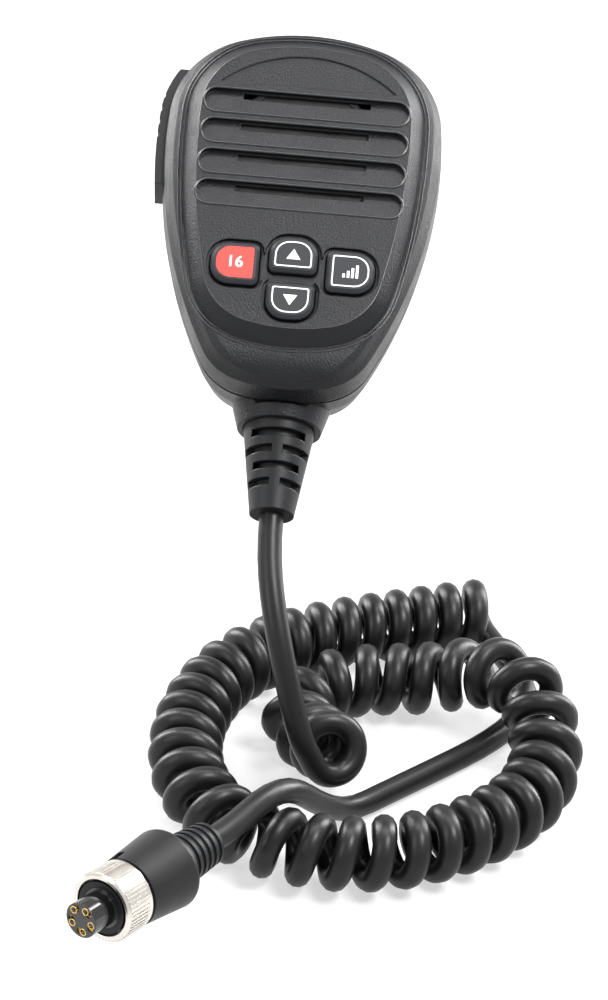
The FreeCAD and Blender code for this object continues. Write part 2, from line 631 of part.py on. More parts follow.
def talk_key():
    """The talk key: a rubber-faced bar along the left flank, ribbed for the thumb, on a pin at its foot."""
    bar = talk_slab(TALK_PROUD, TALK_THICK - TALK_PROUD)
    pin = talk_pin_place()
    lug = rod(TALK_PIN_RADIUS + TALK_LUG_WALL, TALK_DEPTH, pin - Vector(0, TALK_DEPTH / 2, 0))
    bore = rod(TALK_PIN_RADIUS + PIN_FIT, TALK_DEPTH + 2, pin - Vector(0, TALK_DEPTH / 2 + 1, 0))
    bar = bar.fuse(lug).cut(bore)
    for i in range(TALK_RIB_COUNT):
        z = TALK_TOP_Z - 4.0 - i * TALK_RIB_PITCH
        x = -math.sqrt(SIDE_RADIUS ** 2 - z ** 2) - HALF_WIDTH + SIDE_RADIUS - TALK_PROUD
        if z > 14:
            x = x + (z - 14) * 0.25
        bar = bar.cut(rod(0.9, TALK_DEPTH + 2, Vector(x - 0.4, PART_Y - TALK_DEPTH / 2 - 1, z)))
    return bar


def talk_pin():
    start = talk_pin_place() - Vector(0, TALK_DEPTH / 2 + TALK_PIN_REACH, 0)
    return rod(TALK_PIN_RADIUS, TALK_DEPTH + 2 * TALK_PIN_REACH, start)


def talk_seal():
    """The rubber tray behind the talk key: its rim meets the shells' inner walls round the window."""
    edge = 1.5
    low = PART_Y - TALK_DEPTH / 2 - edge
    span = TALK_DEPTH + 2 * edge
    outer = prism(egg(low, WALL + 0.6), span).cut(prism(egg(low - 1, window_inset() + SEAL_THICK), span + 2))
    bottom, top = TALK_BOTTOM_Z - edge, TALK_TOP_Z + edge
    outer = outer.common(block(-HALF_WIDTH, 0, low - 1, low + span + 1, bottom, top))
    pin = talk_pin_place() - Vector(0, TALK_DEPTH / 2 + TALK_PIN_REACH + CLEARANCE, 0)
    relief = rod(TALK_PIN_RADIUS + CLEARANCE, TALK_DEPTH + 2 * (TALK_PIN_REACH + CLEARANCE), pin)
    return outer.cut(talk_window(CLEARANCE)).cut(relief)


def talk_switch():
    """The small push switch behind the seal."""
    x = -HALF_WIDTH + window_inset() + SEAL_THICK + CLEARANCE
    y = PART_Y - SWITCH_WIDTH / 2
    z = 2.0
    return block(x, x + SWITCH_DEPTH, y, y + SWITCH_WIDTH, z - SWITCH_HEIGHT / 2, z + SWITCH_HEIGHT / 2)


def relief_pocket(margin):
    """The room for the relief's flange between the shells, its sides flattened to stay inside them."""
    at = Vector(0, RELIEF_Y, BOTTOM_Z + WALL + CLEARANCE - margin)
    radius = RELIEF_ROOT_RADIUS + RELIEF_FLANGE_EXTRA + margin
    disc = rod(radius, RELIEF_FLANGE_THICK + 2 * margin, at, UP)
    front = PART_Y + GASKET_THICK + CLEARANCE - margin
    return disc.common(block(-20, 20, front, BACK_Y - 1.5 + margin, BOTTOM_Z - 5, BOTTOM_Z + 20))


def relief_radius(along):
    share = min(max(along / RELIEF_LENGTH, 0), 1)
    return RELIEF_ROOT_RADIUS + (RELIEF_END_RADIUS - RELIEF_ROOT_RADIUS) * share


def strain_relief():
    """The tapered rubber boot: a flange inside the collar, and rows of slots that let it bend."""
    top_z = BOTTOM_Z - COLLAR_LENGTH
    at = Vector(0, RELIEF_Y, top_z)
    down = Vector(0, 0, -1)
    boot = Part.makeCone(RELIEF_ROOT_RADIUS, RELIEF_END_RADIUS, RELIEF_LENGTH, at, down)
    root = rod(RELIEF_ROOT_RADIUS, COLLAR_LENGTH + WALL, at, UP)
    flange = relief_pocket(0)
    neck = rod(RELIEF_ROOT_RADIUS, CLEARANCE + 0.2, Vector(0, RELIEF_Y, BOTTOM_Z + WALL - 0.1), UP)
    boot = boot.fuse(root).fuse(neck).fuse(flange)
    for i in range(RELIEF_SLOT_COUNT):
        along = RELIEF_FIRST_SLOT + i * RELIEF_SLOT_PITCH
        radius = relief_radius(along)
        low = Vector(0, RELIEF_Y, top_z - along - RELIEF_SLOT / 2)
        ring = rod(2 * radius, RELIEF_SLOT, low, UP)
        ring = ring.cut(rod(radius - RELIEF_SLOT_DEPTH, RELIEF_SLOT, low, UP))
        z0, z1 = low.z - RELIEF_SLOT, low.z + 2 * RELIEF_SLOT
        y0, y1 = RELIEF_Y - 2 * radius, RELIEF_Y + 2 * radius
        if i % 2 == 0:
            side = block(-2 * radius, -radius * RELIEF_SIDE_SHARE, y0, y1, z0, z1)
            ring = ring.cut(side).cut(side.mirror(Vector(), Vector(1, 0, 0)))
        else:
            ring = ring.cut(block(-RELIEF_BRIDGE, RELIEF_BRIDGE, y0, y1, z0, z1))
            front, back = RELIEF_Y - RELIEF_BRIDGE, RELIEF_Y + RELIEF_BRIDGE
            ring = ring.cut(block(-2 * radius, 2 * radius, front, back, z0, z1))
        boot = boot.cut(ring)
    return boot


def cord_clamp():
    """The saddle that grips the relief's flange inside the rear shell."""
    z = BOTTOM_Z + WALL + CLEARANCE + RELIEF_FLANGE_THICK
    return block(-CLAMP_WIDTH / 2, CLAMP_WIDTH / 2, RELIEF_Y - 3, RELIEF_Y + 3, z, z + CLAMP_THICK)


def arc_middle(start, corner, end):
    """The middle of the arc from start to end whose end tangents meet at corner."""
    chord = end - start
    half = chord.Length / 2
    turn = (corner - start).getAngle(chord)
    centre = (start + end) * 0.5
    return centre + (corner - centre).normalize() * (half * math.tan(turn / 2))


def tube(path, radius):
    """A faceted round solid swept along a wire."""
    start = path.Edges[0].valueAt(path.Edges[0].FirstParameter)
    way = path.Edges[0].tangentAt(path.Edges[0].FirstParameter)
    across = way.cross(UP if abs(way.z) < 0.9 else Vector(1, 0, 0)).normalize()
    upright = way.cross(across)
    corners = []
    for i in range(SECTION_SIDES + 1):
        turn = 2 * math.pi * (i + 0.5) / SECTION_SIDES
        corners.append(start + (across * math.cos(turn) + upright * math.sin(turn)) * radius)
    return path.makePipeShell([Part.makePolygon(corners)], True, False)


def section_area(radius):
    return SECTION_SIDES / 2 * radius ** 2 * math.sin(2 * math.pi / SECTION_SIDES)


def route_path(points):
    """Straight runs joined by arcs, each as large as its two runs allow."""
    edges = []
    radii = []
    last = points[0]
    for i in range(1, len(points) - 1):
        before, at, after = points[i - 1], points[i], points[i + 1]
        run_in, run_out = at - before, after - at
        turn = run_in.getAngle(run_out)
        reach = 0.45 * min(run_in.Length, run_out.Length)
        radii.append(reach / math.tan(turn / 2))
        arc_in = at - Vector(run_in).normalize() * reach
        arc_out = at + Vector(run_out).normalize() * reach
        edges.append(Part.LineSegment(last, arc_in).toShape())
        edges.append(Part.Arc(arc_in, arc_middle(arc_in, at, arc_out), arc_out).toShape())
        last = arc_out
    edges.append(Part.LineSegment(last, points[-1]).toShape())
    return Part.Wire(edges), radii


def straight_tube(name, points):
    """A stretch of cord that isn't coiled, with its radii and volume printed."""
    path, radii = route_path(points)
    solid = tube(path, WIRE_RADIUS)
    expected = section_area(WIRE_RADIUS) * path.Length
    print(name, "radii", [round(r, 1) for r in radii], "length", round(path.Length, 1),
          "volume ratio", round(solid.Volume / expected, 4))
    return solid


def floor_point(point):
    return Vector(point[0], point[1], FLOOR_Z + point[2])


def strand_line(steps_per_span=24):
    """Points along the curly cord's axis: a uniform cubic B-spline on the strand's control points."""
    control = [floor_point(p) for p in STRAND]
    line = []
    for i in range(len(control) - 3):
        a, b, c, d = control[i:i + 4]
        for step in range(steps_per_span):
            t = step / steps_per_span
            line.append((a * (1 - t) ** 3 + b * (3 * t ** 3 - 6 * t ** 2 + 4)
                         + c * (-3 * t ** 3 + 3 * t ** 2 + 3 * t + 1) + d * t ** 3) * (1 / 6))
    return line


def curl_stations():
    """For each point of the strand: its place, its two cross directions and the curl's angle there.

    The curls touch on the inside of a bend and fan out on its outside, so their pitch follows the bend."""
    line = strand_line()
    stations = []
    angle = -0.4
    for i in range(1, len(line) - 1):
        way = (line[i + 1] - line[i - 1]).normalize()
        side = UP.cross(way).normalize()
        lift = way.cross(side)
        step_in, step_out = line[i] - line[i - 1], line[i + 1] - line[i]
        bend = step_in.getAngle(step_out) / ((step_in.Length + step_out.Length) / 2)
        pitch = (2 * WIRE_RADIUS + CURL_GAP) / (1 - CURL_RADIUS * bend)
        if len(line) - i < OPEN_STATIONS:
            pitch *= OPEN_PITCH
        angle += 2 * math.pi * step_in.Length / pitch
        stations.append((line[i], side, lift, angle))
    return stations


def curl_points():
    """Points and tangents of the helix, a fixed number to a turn."""
    stations = curl_stations()
    step = 2 * math.pi / CURL_POINTS_PER_TURN
    total = int(stations[-1][3] / step)

    def at(angle):
        low, high = 0, len(stations) - 1
        while high - low > 1:
            mid = (low + high) // 2
            if stations[mid][3] <= angle:
                low = mid
            else:
                high = mid
        a, b = stations[low], stations[high]
        t = (angle - a[3]) / (b[3] - a[3])
        side = (a[1] * (1 - t) + b[1] * t).normalize()
        lift = (a[2] * (1 - t) + b[2] * t).normalize()
        centre = a[0] * (1 - t) + b[0] * t
        return centre + (side * math.cos(angle) - lift * math.sin(angle)) * CURL_RADIUS

    angles = [CURL_START_ANGLE] + [i * step for i in range(1, total + 1)]
    while angles[-1] + math.pi / 2 > stations[-1][3] - 0.02 or round(angles[-1] / step) % 2:
        angles.pop()
    angles.append(angles[-1] + math.pi / 2)
    found = []
    for angle in angles:
        ahead, behind = at(angle + 0.01), at(angle - 0.01)
        found.append((at(angle), (ahead - behind).normalize()))
    return found


def biarc(start, start_way, end, end_way):
    """Two arcs that join two points with given directions."""
    gap = end - start
    both = start_way + end_way
    a = 2 * (start_way.dot(end_way) - 1)
    b = -2 * gap.dot(both)
    c = gap.dot(gap)
    reach = (-b - math.sqrt(b * b - 4 * a * c)) / (2 * a)
    if reach < 0:
        reach = (-b + math.sqrt(b * b - 4 * a * c)) / (2 * a)
    first = start + start_way * reach
    second = end - end_way * reach
    joint = (first + second) * 0.5
    return [Part.Arc(start, arc_middle(start, first, joint), joint).toShape(),
            Part.Arc(joint, arc_middle(joint, second, end), end).toShape()]


def cord_curl():
    """The curly cord as one unbroken helix, with a straight end of one tube diameter each side."""
    points = curl_points()
    end_run = 2 * WIRE_RADIUS
    first, first_way = points[0]
    last, last_way = points[-1]
    edges = [Part.LineSegment(first - first_way * end_run, first).toShape()]
    for i in range(len(points) - 1):
        edges += biarc(points[i][0], points[i][1], points[i + 1][0], points[i + 1][1])
    edges.append(Part.LineSegment(last, last + last_way * end_run).toShape())
    path = Part.Wire(edges)
    solid = tube(path, WIRE_RADIUS)
    expected = section_area(WIRE_RADIUS) * path.Length
    print("cord_curl turns", len(points) / CURL_POINTS_PER_TURN, "length", round(path.Length, 1),
          "volume ratio", round(solid.Volume / expected, 4), "least gap", round(least_gap(path), 2))
    return solid, (first - first_way * end_run, first_way), (last + last_way * end_run, last_way)


def least_gap(path):
    """The least gap between two stretches of the wire that lie half a turn or more apart along it."""
    points = path.discretize(Distance=1.2)
    cell = 8.0
    grid = {}
    for i, p in enumerate(points):
        grid.setdefault((int(p.x // cell), int(p.y // cell), int(p.z // cell)), []).append(i)
    least = cell
    for i, p in enumerate(points):
        home = (int(p.x // cell), int(p.y // cell), int(p.z // cell))
        for dx in (-1, 0, 1):
            for dy in (-1, 0, 1):
                for dz in (-1, 0, 1):
                    for j in grid.get((home[0] + dx, home[1] + dy, home[2] + dz), []):
                        if j - i > 16:
                            least = min(least, p.distanceToPoint(points[j]))
    return least - 2 * WIRE_RADIUS


def lean_placement():
    return FreeCAD.Placement(Vector(), FreeCAD.Rotation(Vector(1, 0, 0), -LEAN))


def connector_place(cable_end):
    """The connector's own frame, Z from its boot to its face, put at the cable's end."""
    turn = FreeCAD.Rotation(UP, CONNECTOR_DIRECTION)
    return FreeCAD.Placement(cable_end, turn)


def along_axis(radius, start, length):
    return rod(radius, length, Vector(0, 0, start), UP)


def connector_boot():
    """The ribbed rubber boot on the cable's end."""
    boot = Part.makeCone(BOOT_END_RADIUS, BOOT_ROOT_RADIUS, BOOT_LENGTH, Vector(), UP)
    for i in range(BOOT_RIB_COUNT):
        z = 1.0 + i * BOOT_RIB_PITCH
        radius = BOOT_END_RADIUS + (BOOT_ROOT_RADIUS - BOOT_END_RADIUS) * z / BOOT_LENGTH
        groove = along_axis(radius + 2, z, BOOT_RIB_PITCH / 2)
        groove = groove.cut(along_axis(radius - BOOT_RIB, z - 1, BOOT_RIB_PITCH + 2))
        boot = boot.cut(groove)
    return boot


def connector_body():
    """The overmoulded body: a rounded shoulder, a taper to the nut and a collar that the nut turns on."""
    start = BOOT_LENGTH
    nose = start + BODY_LENGTH
    points = [Vector(0, 0, start), Vector(BODY_RADIUS - 2, 0, start)]
    edges = [Part.LineSegment(points[0], points[1]).toShape()]
    k = math.sqrt(0.5)
    edges.append(Part.Arc(points[1], Vector(BODY_RADIUS - 2 + 2 * k, 0, start + 2 - 2 * k),
                          Vector(BODY_RADIUS, 0, start + 2)).toShape())
    outline = [Vector(BODY_RADIUS, 0, start + 2), Vector(BODY_FRONT_RADIUS, 0, nose),
               Vector(SLEEVE_RADIUS, 0, nose), Vector(SLEEVE_RADIUS, 0, nose + SLEEVE_LENGTH),
               Vector(0, 0, nose + SLEEVE_LENGTH), Vector(0, 0, start)]
    for a, b in zip(outline, outline[1:]):
        edges.append(Part.LineSegment(a, b).toShape())
    body = Part.Face(Part.Wire(edges)).revolve(Vector(), UP, 360)
    body = body.cut(along_axis(INSERT_SEAT_RADIUS, insert_start(), SLEEVE_LENGTH + 4))
    notch = block(-1.2, 1.2, BODY_FRONT_RADIUS - 0.7, BODY_FRONT_RADIUS + 3, nose - 3.0, nose + 0.01)
    return body.cut(notch)


def insert_start():
    return BOOT_LENGTH + BODY_LENGTH - 2.0


def contact_places():
    return [Vector(CONTACT_RING * math.cos(2 * math.pi * i / CONTACT_COUNT + math.pi / 2),
                   CONTACT_RING * math.sin(2 * math.pi * i / CONTACT_COUNT + math.pi / 2), 0)
            for i in range(CONTACT_COUNT)]


def connector_insert():
    """The black insert: a seat in the sleeve, and a plug with a ring of contact holes beyond it."""
    seat = along_axis(INSERT_SEAT_RADIUS, insert_start(), INSERT_LENGTH - INSERT_PLUG_LENGTH)
    insert = seat.fuse(along_axis(INSERT_RADIUS, insert_start(), INSERT_LENGTH))
    end = insert_start() + INSERT_LENGTH
    for place in contact_places():
        insert = insert.cut(rod(CONTACT_HOLE_RADIUS, CONTACT_LENGTH + 1, place + Vector(0, 0, end - CONTACT_LENGTH), UP))
    return insert


def connector_contacts():
    """The socket contacts, a sleeve in each hole."""
    end = insert_start() + INSERT_LENGTH
    contacts = []
    for place in contact_places():
        at = place + Vector(0, 0, end - CONTACT_LENGTH)
        sleeve = rod(CONTACT_RADIUS, CONTACT_LENGTH - 0.4, at, UP)
        contacts.append(sleeve.cut(rod(CONTACT_BORE, CONTACT_LENGTH, at + Vector(0, 0, 1.5), UP)))
    return Part.makeCompound(contacts)


def coupling_nut():
    """The knurled nut, free to turn on the body's sleeve, with a lip behind the retaining ring."""
    start = BOOT_LENGTH + BODY_LENGTH + CLEARANCE
    nut = along_axis(NUT_RADIUS, start, NUT_LENGTH)
    nut = nut.makeChamfer(0.5, [e for e in nut.Edges if isinstance(e.Curve, Part.Circle)])
    nut = nut.cut(along_axis(NUT_BORE, start + 1.4, NUT_LENGTH))
    return nut.cut(along_axis(SLEEVE_RADIUS + PIN_FIT, start - 1, NUT_LENGTH))


def retaining_ring():
    """The snap ring on the sleeve that keeps the nut on."""
    start = BOOT_LENGTH + BODY_LENGTH + CLEARANCE + 1.4 + CLEARANCE
    return along_axis(NUT_BORE - CLEARANCE, start, RING_THICK).cut(along_axis(SLEEVE_RADIUS, start - 1, RING_THICK + 2))


def export(name, shape, placement=None):
    """Writes one piece, placed in the model's frame."""
    if placement is not None:
        shape = shape.copy()
        shape.Placement = placement.multiply(shape.Placement)
    shape.exportStep("parts/" + name + ".step")


def handset_pieces():
    pieces = {
        "front_housing": front_housing(), "rear_housing": rear_housing(), "housing_gasket": housing_gasket(),
        "housing_screws": Part.makeCompound([pan_screw(x, z, screw_seat_y(), HOUSING_SCREW_LENGTH)
                                             for x, z in housing_screw_places()]),
        "hanger_stud": hanger_stud(), "hanger_stud_screw": hanger_stud_screw(), "key_domes": key_domes(),
        "circuit_board": circuit_board(), "board_screws": board_screws(), "board_header": board_header(),
        "speaker_basket": speaker_basket(), "speaker_cone": speaker_cone(), "speaker_magnet": speaker_magnet(),
        "speaker_membrane": speaker_membrane(), "microphone_boot": microphone_boot(),
        "microphone_capsule": microphone_capsule(), "talk_key": talk_key(), "talk_pin": talk_pin(),
        "talk_seal": talk_seal(), "talk_switch": talk_switch(), "strain_relief": strain_relief(),
        "cord_clamp": cord_clamp(),
    }
    for name, x, z, height, corners in keys():
        pieces[name] = key(x, z, height, corners)
    return pieces


def connector_pieces():
    return {
        "connector_boot": connector_boot(), "connector_body": connector_body(),
        "connector_insert": connector_insert(), "connector_contacts": connector_contacts(),
        "coupling_nut": coupling_nut(), "nut_retaining_ring": retaining_ring(),
    }


def build():
    os.makedirs("parts", exist_ok=True)
    lean = lean_placement()
    for name, shape in handset_pieces().items():
        export(name, shape, lean)
    exit_point = lean.multVec(Vector(0, RELIEF_Y, BOTTOM_Z - COLLAR_LENGTH - RELIEF_LENGTH))
    exit_way = lean.Rotation.multVec(Vector(0, 0, -1))
    curl, (curl_start, start_way), (curl_end, end_way) = cord_curl()
    export("cord_curl", curl)
    print("exit", exit_point, "curl start", curl_start, start_way, "curl end", curl_end, end_way)
    upper = [exit_point, exit_point + exit_way * 9.0] + [floor_point(p) for p in UPPER_ROUTE]
    upper += [curl_start - start_way * 9.0, curl_start]
    export("cord_upper", straight_tube("cord_upper", upper))
    way = Vector(CONNECTOR_DIRECTION).normalize()
    cable_end = floor_point(LOWER_ROUTE[-1]) + way * 9.0
    lower = [curl_end, curl_end + end_way * 8.0] + [floor_point(p) for p in LOWER_ROUTE] + [cable_end]
    export("cord_lower", straight_tube("cord_lower", lower))
    place = connector_place(cable_end)
    for name, shape in connector_pieces().items():
        export(name, shape, place)
    print("connector starts", cable_end, "face", place.multVec(Vector(0, 0, insert_start() + INSERT_LENGTH)))


build()
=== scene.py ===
import math

import bpy
from mathutils import Matrix, Vector


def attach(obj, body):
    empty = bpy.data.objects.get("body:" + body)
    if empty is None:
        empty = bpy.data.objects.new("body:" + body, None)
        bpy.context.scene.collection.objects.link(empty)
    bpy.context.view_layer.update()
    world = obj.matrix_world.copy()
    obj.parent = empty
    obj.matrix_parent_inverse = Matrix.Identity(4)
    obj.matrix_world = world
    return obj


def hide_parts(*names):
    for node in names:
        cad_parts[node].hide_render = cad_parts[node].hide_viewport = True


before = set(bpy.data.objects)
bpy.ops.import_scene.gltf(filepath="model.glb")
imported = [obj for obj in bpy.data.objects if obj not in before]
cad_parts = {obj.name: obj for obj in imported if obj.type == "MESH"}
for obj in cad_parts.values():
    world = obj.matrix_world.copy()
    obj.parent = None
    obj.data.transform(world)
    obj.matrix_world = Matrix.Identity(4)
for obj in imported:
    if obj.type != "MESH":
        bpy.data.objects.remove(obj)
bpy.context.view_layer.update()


# Front and rear housing: a black polycarbonate blend, injection moulded in two shells. The tool's
# spark-eroded grain gives it a fine speckle that glints, and the fascia is a little smoother.
MM = 0.001
LEAN = math.radians(54.0)
BACK_Y = -5.6
PART_Y = BACK_Y - 19.2
FASCIA_Y = PART_Y - 15.3
GRAIN_SIZE = 0.5
GRAIN_HEIGHT = 0.16
GLOSS_PATCH = 9.0
CASE_COLOUR = "#0E0F12"
CASE_EDGE = 0.55


def at(x, y, z):
    """A place on the handset, given across it, into it and up it in millimetres."""
    along = y * math.cos(LEAN) + z * math.sin(LEAN)
    height = z * math.cos(LEAN) - y * math.sin(LEAN)
    return Vector((x, along, height)) * MM


def paint(hex_colour):
    """An sRGB hex colour as linear red, green, blue and alpha."""
    parts = [int(hex_colour[i:i + 2], 16) / 255 for i in (1, 3, 5)]
    return [c / 12.92 if c <= 0.04045 else ((c + 0.055) / 1.055) ** 2.4 for c in parts] + [1.0]


def add(tree, kind, inputs=None, **settings):
    """Adds a node to a tree, with its settings, and its inputs as values or as links."""
    node = tree.nodes.new(kind)
    for name, value in settings.items():
        setattr(node, name, value)
    for name, value in (inputs or {}).items():
        if isinstance(value, bpy.types.NodeSocket):
            tree.links.new(value, node.inputs[name])
        else:
            node.inputs[name].default_value = value
    return node


def new_material(name, colour, roughness, metallic=0.0, ior=1.5, specular=0.5):
    """A material and its shader, with even values on the shader's own sockets."""
    material = bpy.data.materials.new(name)
    material.use_nodes = True
    shader = material.node_tree.nodes["Principled BSDF"]
    shader.inputs["Base Color"].default_value = paint(colour)
    shader.inputs["Roughness"].default_value = roughness
    shader.inputs["Metallic"].default_value = metallic
    shader.inputs["IOR"].default_value = ior
    shader.inputs["Specular IOR Level"].default_value = specular
    return material, shader


def grained(material, shader, grain, height, edge, roughness_low, roughness_high):
    """A moulded surface: rounded edges, a grain of that size in millimetres, and a varying gloss."""
    tree = material.node_tree
    place = add(tree, "ShaderNodeTexCoord")
    coarse = add(tree, "ShaderNodeTexNoise", {
        "Vector": place.outputs["Object"], "Scale": 1 / (grain * MM), "Detail": 3.0, "Roughness": 0.6})
    soft = add(tree, "ShaderNodeTexNoise", {
        "Vector": place.outputs["Object"], "Scale": 1 / (GLOSS_PATCH * MM), "Detail": 2.0})
    gloss = add(tree, "ShaderNodeMapRange", {
        "Value": soft.outputs["Fac"], "From Min": 0.3, "From Max": 0.7,
        "To Min": roughness_low, "To Max": roughness_high})
    rounded_edge = add(tree, "ShaderNodeBevel", {"Radius": edge * MM}, samples=6)
    bump = add(tree, "ShaderNodeBump", {
        "Height": coarse.outputs["Fac"], "Strength": 1.0, "Distance": height * MM,
        "Normal": rounded_edge.outputs["Normal"]})
    tree.links.new(gloss.outputs["Result"], shader.inputs["Roughness"])
    tree.links.new(bump.outputs["Normal"], shader.inputs["Normal"])


def dress(node, material):
    """Gives a CAD piece its material."""
    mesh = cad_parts[node].data
    mesh.materials.clear()
    mesh.materials.append(material)


case, case_shader = new_material("moulded polycarbonate, spark grain", CASE_COLOUR, 0.4, ior=1.58,
                                 specular=0.2)
grained(case, case_shader, GRAIN_SIZE, GRAIN_HEIGHT, CASE_EDGE, 0.34, 0.46)
dress("front_housing", case)
dress("rear_housing", case)


# Fascia trim: moulded in one with the front shell. A fine double line runs round the foot of the
# fascia, one line along its edge, and a raised lip round each pill-shaped groove of the grille.
HALF_WIDTH = 25.7
TOP_Z = 23.6
BOTTOM_Z = -52.0
TOP_RADIUS = 55.0
SHOULDER_RADIUS = 17.0
SIDE_RADIUS = 175.0
JAW_RADIUS = 15.0
BOTTOM_RADIUS = 45.0
FASCIA_RISE = 3.6
FASCIA_BEVEL = 3.4
GROOVE_COUNT = 4
GROOVE_TOP_Z = 7.5
GROOVE_PITCH = 8.33
GROOVE_HEIGHT = 6.4
GROOVE_LENGTH = 50.0
LIP_RADIUS = 0.32
LINE_RADIUS = 0.16
LINE_GAP = 0.75
LINE_OUTSET = 0.35
LINE_SINK = 0.02
EDGE_INSET = 0.05
EDGE_SINK = 0.08
LIP_CLEARANCE = 0.3
LIP_EASE = 0.1
LIP_SINK = 0.06


def circles_meet(first, first_radius, second, second_radius, upper):
    """Where two circles cross, right of the middle, as across and up the handset."""
    gap = second - first
    span = gap.length
    along = (first_radius ** 2 - second_radius ** 2 + span ** 2) / (2 * span)
    off = math.sqrt(first_radius ** 2 - along ** 2)
    way = gap.normalized()
    side = Vector((-way.y, way.x))
    middle = first + way * along
    both = sorted([middle + side * off, middle - side * off], key=lambda p: p.y)
    return both[1] if upper else both[0]


def arc(centre, radius, start, end, steps):
    """Points on an arc from start towards end, both seen from the centre, without the end itself."""
    first = math.atan2(start.y - centre.y, start.x - centre.x)
    turn = math.atan2(end.y - centre.y, end.x - centre.x) - first
    turn = (turn + math.pi) % (2 * math.pi) - math.pi
    angles = [first + turn * i / steps for i in range(steps)]
    return [centre + Vector((math.cos(a), math.sin(a))) * radius for a in angles]


def fascia_outline(outset, steps=14):
    """The fascia's egg outline of tangent arcs, moved outwards, as points across and up the handset."""
    top = Vector((0, TOP_Z - TOP_RADIUS))
    side = Vector((HALF_WIDTH - SIDE_RADIUS, 0))
    low = Vector((0, BOTTOM_Z + BOTTOM_RADIUS))
    shoulder = circles_meet(top, TOP_RADIUS - SHOULDER_RADIUS, side, SIDE_RADIUS - SHOULDER_RADIUS, True)
    jaw = circles_meet(low, BOTTOM_RADIUS - JAW_RADIUS, side, SIDE_RADIUS - JAW_RADIUS, False)
    top_end = top + (shoulder - top).normalized() * TOP_RADIUS
    side_start = side + (shoulder - side).normalized() * SIDE_RADIUS
    side_end = side + (jaw - side).normalized() * SIDE_RADIUS
    low_start = low + (jaw - low).normalized() * BOTTOM_RADIUS
    spots = [
        (top, TOP_RADIUS, Vector((0, TOP_Z)), top_end),
        (shoulder, SHOULDER_RADIUS, top_end, side_start),
        (side, SIDE_RADIUS, side_start, side_end),
        (jaw, JAW_RADIUS, side_end, low_start),
        (low, BOTTOM_RADIUS, low_start, Vector((0, BOTTOM_Z))),
    ]
    right = []
    for centre, radius, start, end in spots:
        right += arc(centre, radius + outset, start, end, steps)
    right.append(Vector((0, BOTTOM_Z - outset)))
    return right + [Vector((-p.x, p.y)) for p in reversed(right[1:-1])]


def plain_mesh(maker):
    """The plain mesh of a curve, a text or a node tree, whose own object then goes."""
    bpy.context.scene.collection.objects.link(maker)
    bpy.context.view_layer.update()
    shown = maker.evaluated_get(bpy.context.evaluated_depsgraph_get())
    mesh = bpy.data.meshes.new_from_object(shown)
    bpy.data.objects.remove(maker)
    return mesh


def piece_of(name, mesh):
    """A piece with that mesh, standing in the scene."""
    piece = bpy.data.objects.new(name, mesh)
    bpy.context.scene.collection.objects.link(piece)
    return piece


def bead(name, outline, depth_y, radius, material, body):
    """A thin round bead along a closed outline at one depth, as a plain mesh."""
    curve = bpy.data.curves.new(name, "CURVE")
    curve.dimensions = "3D"
    curve.bevel_depth = radius * MM
    curve.bevel_resolution = 2
    line = curve.splines.new("POLY")
    line.points.add(len(outline) - 1)
    for point, (x, z) in zip(line.points, outline):
        point.co = (*at(x, depth_y, z), 1.0)
    line.use_cyclic_u = True
    mesh = plain_mesh(bpy.data.objects.new(name + "_maker", curve))
    mesh.materials.clear()
    mesh.materials.append(material)
    mesh.shade_smooth()
    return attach(piece_of(name, mesh), body)


def rounded_outline(x, z, width, height, corners, steps=6):
    """Points anticlockwise round a rectangle, from the lower left, with a radius for each corner."""
    outline = []
    spots = [(-1, -1, 180), (1, -1, 270), (1, 1, 0), (-1, 1, 90)]
    for (sx, sz, start), radius in zip(spots, corners):
        centre_x = x + sx * (width / 2 - radius)
        centre_z = z + sz * (height / 2 - radius)
        for i in range(steps + 1):
            turn = math.radians(start + 90 * i / steps)
            outline.append((centre_x + radius * math.cos(turn), centre_z + radius * math.sin(turn)))
    return outline


polished, polished_shader = new_material("polished polycarbonate edge", "#141518", 0.22, ior=1.58)
grained(polished, polished_shader, 1.5, 0.004, 0.05, 0.18, 0.28)
for i in range(2):
    bead("fascia_line_%d" % (i + 1), fascia_outline(FASCIA_BEVEL + LINE_OUTSET + i * LINE_GAP),
         FASCIA_Y + FASCIA_RISE - LINE_SINK, LINE_RADIUS, polished, "handset")
bead("fascia_edge", fascia_outline(-EDGE_INSET), FASCIA_Y + EDGE_SINK, LINE_RADIUS, polished, "handset")
for i in range(GROOVE_COUNT):
    groove = rounded_outline(0, GROOVE_TOP_Z - i * GROOVE_PITCH, GROOVE_LENGTH + LIP_CLEARANCE,
                             GROOVE_HEIGHT + LIP_CLEARANCE, (GROOVE_HEIGHT / 2 - LIP_EASE,) * 4)
    bead("groove_lip_%d" % (i + 1), groove, FASCIA_Y + LIP_SINK, LIP_RADIUS, polished, "handset")


# Gasket and seals: moulded silicone, dull black, pressed between the two shells.
seal, seal_shader = new_material("moulded silicone rubber", "#141415", 0.62, ior=1.41, specular=0.3)
grained(seal, seal_shader, 0.6, 0.02, 0.1, 0.58, 0.68)
for node in ("housing_gasket", "talk_seal", "microphone_boot"):
    dress(node, seal)


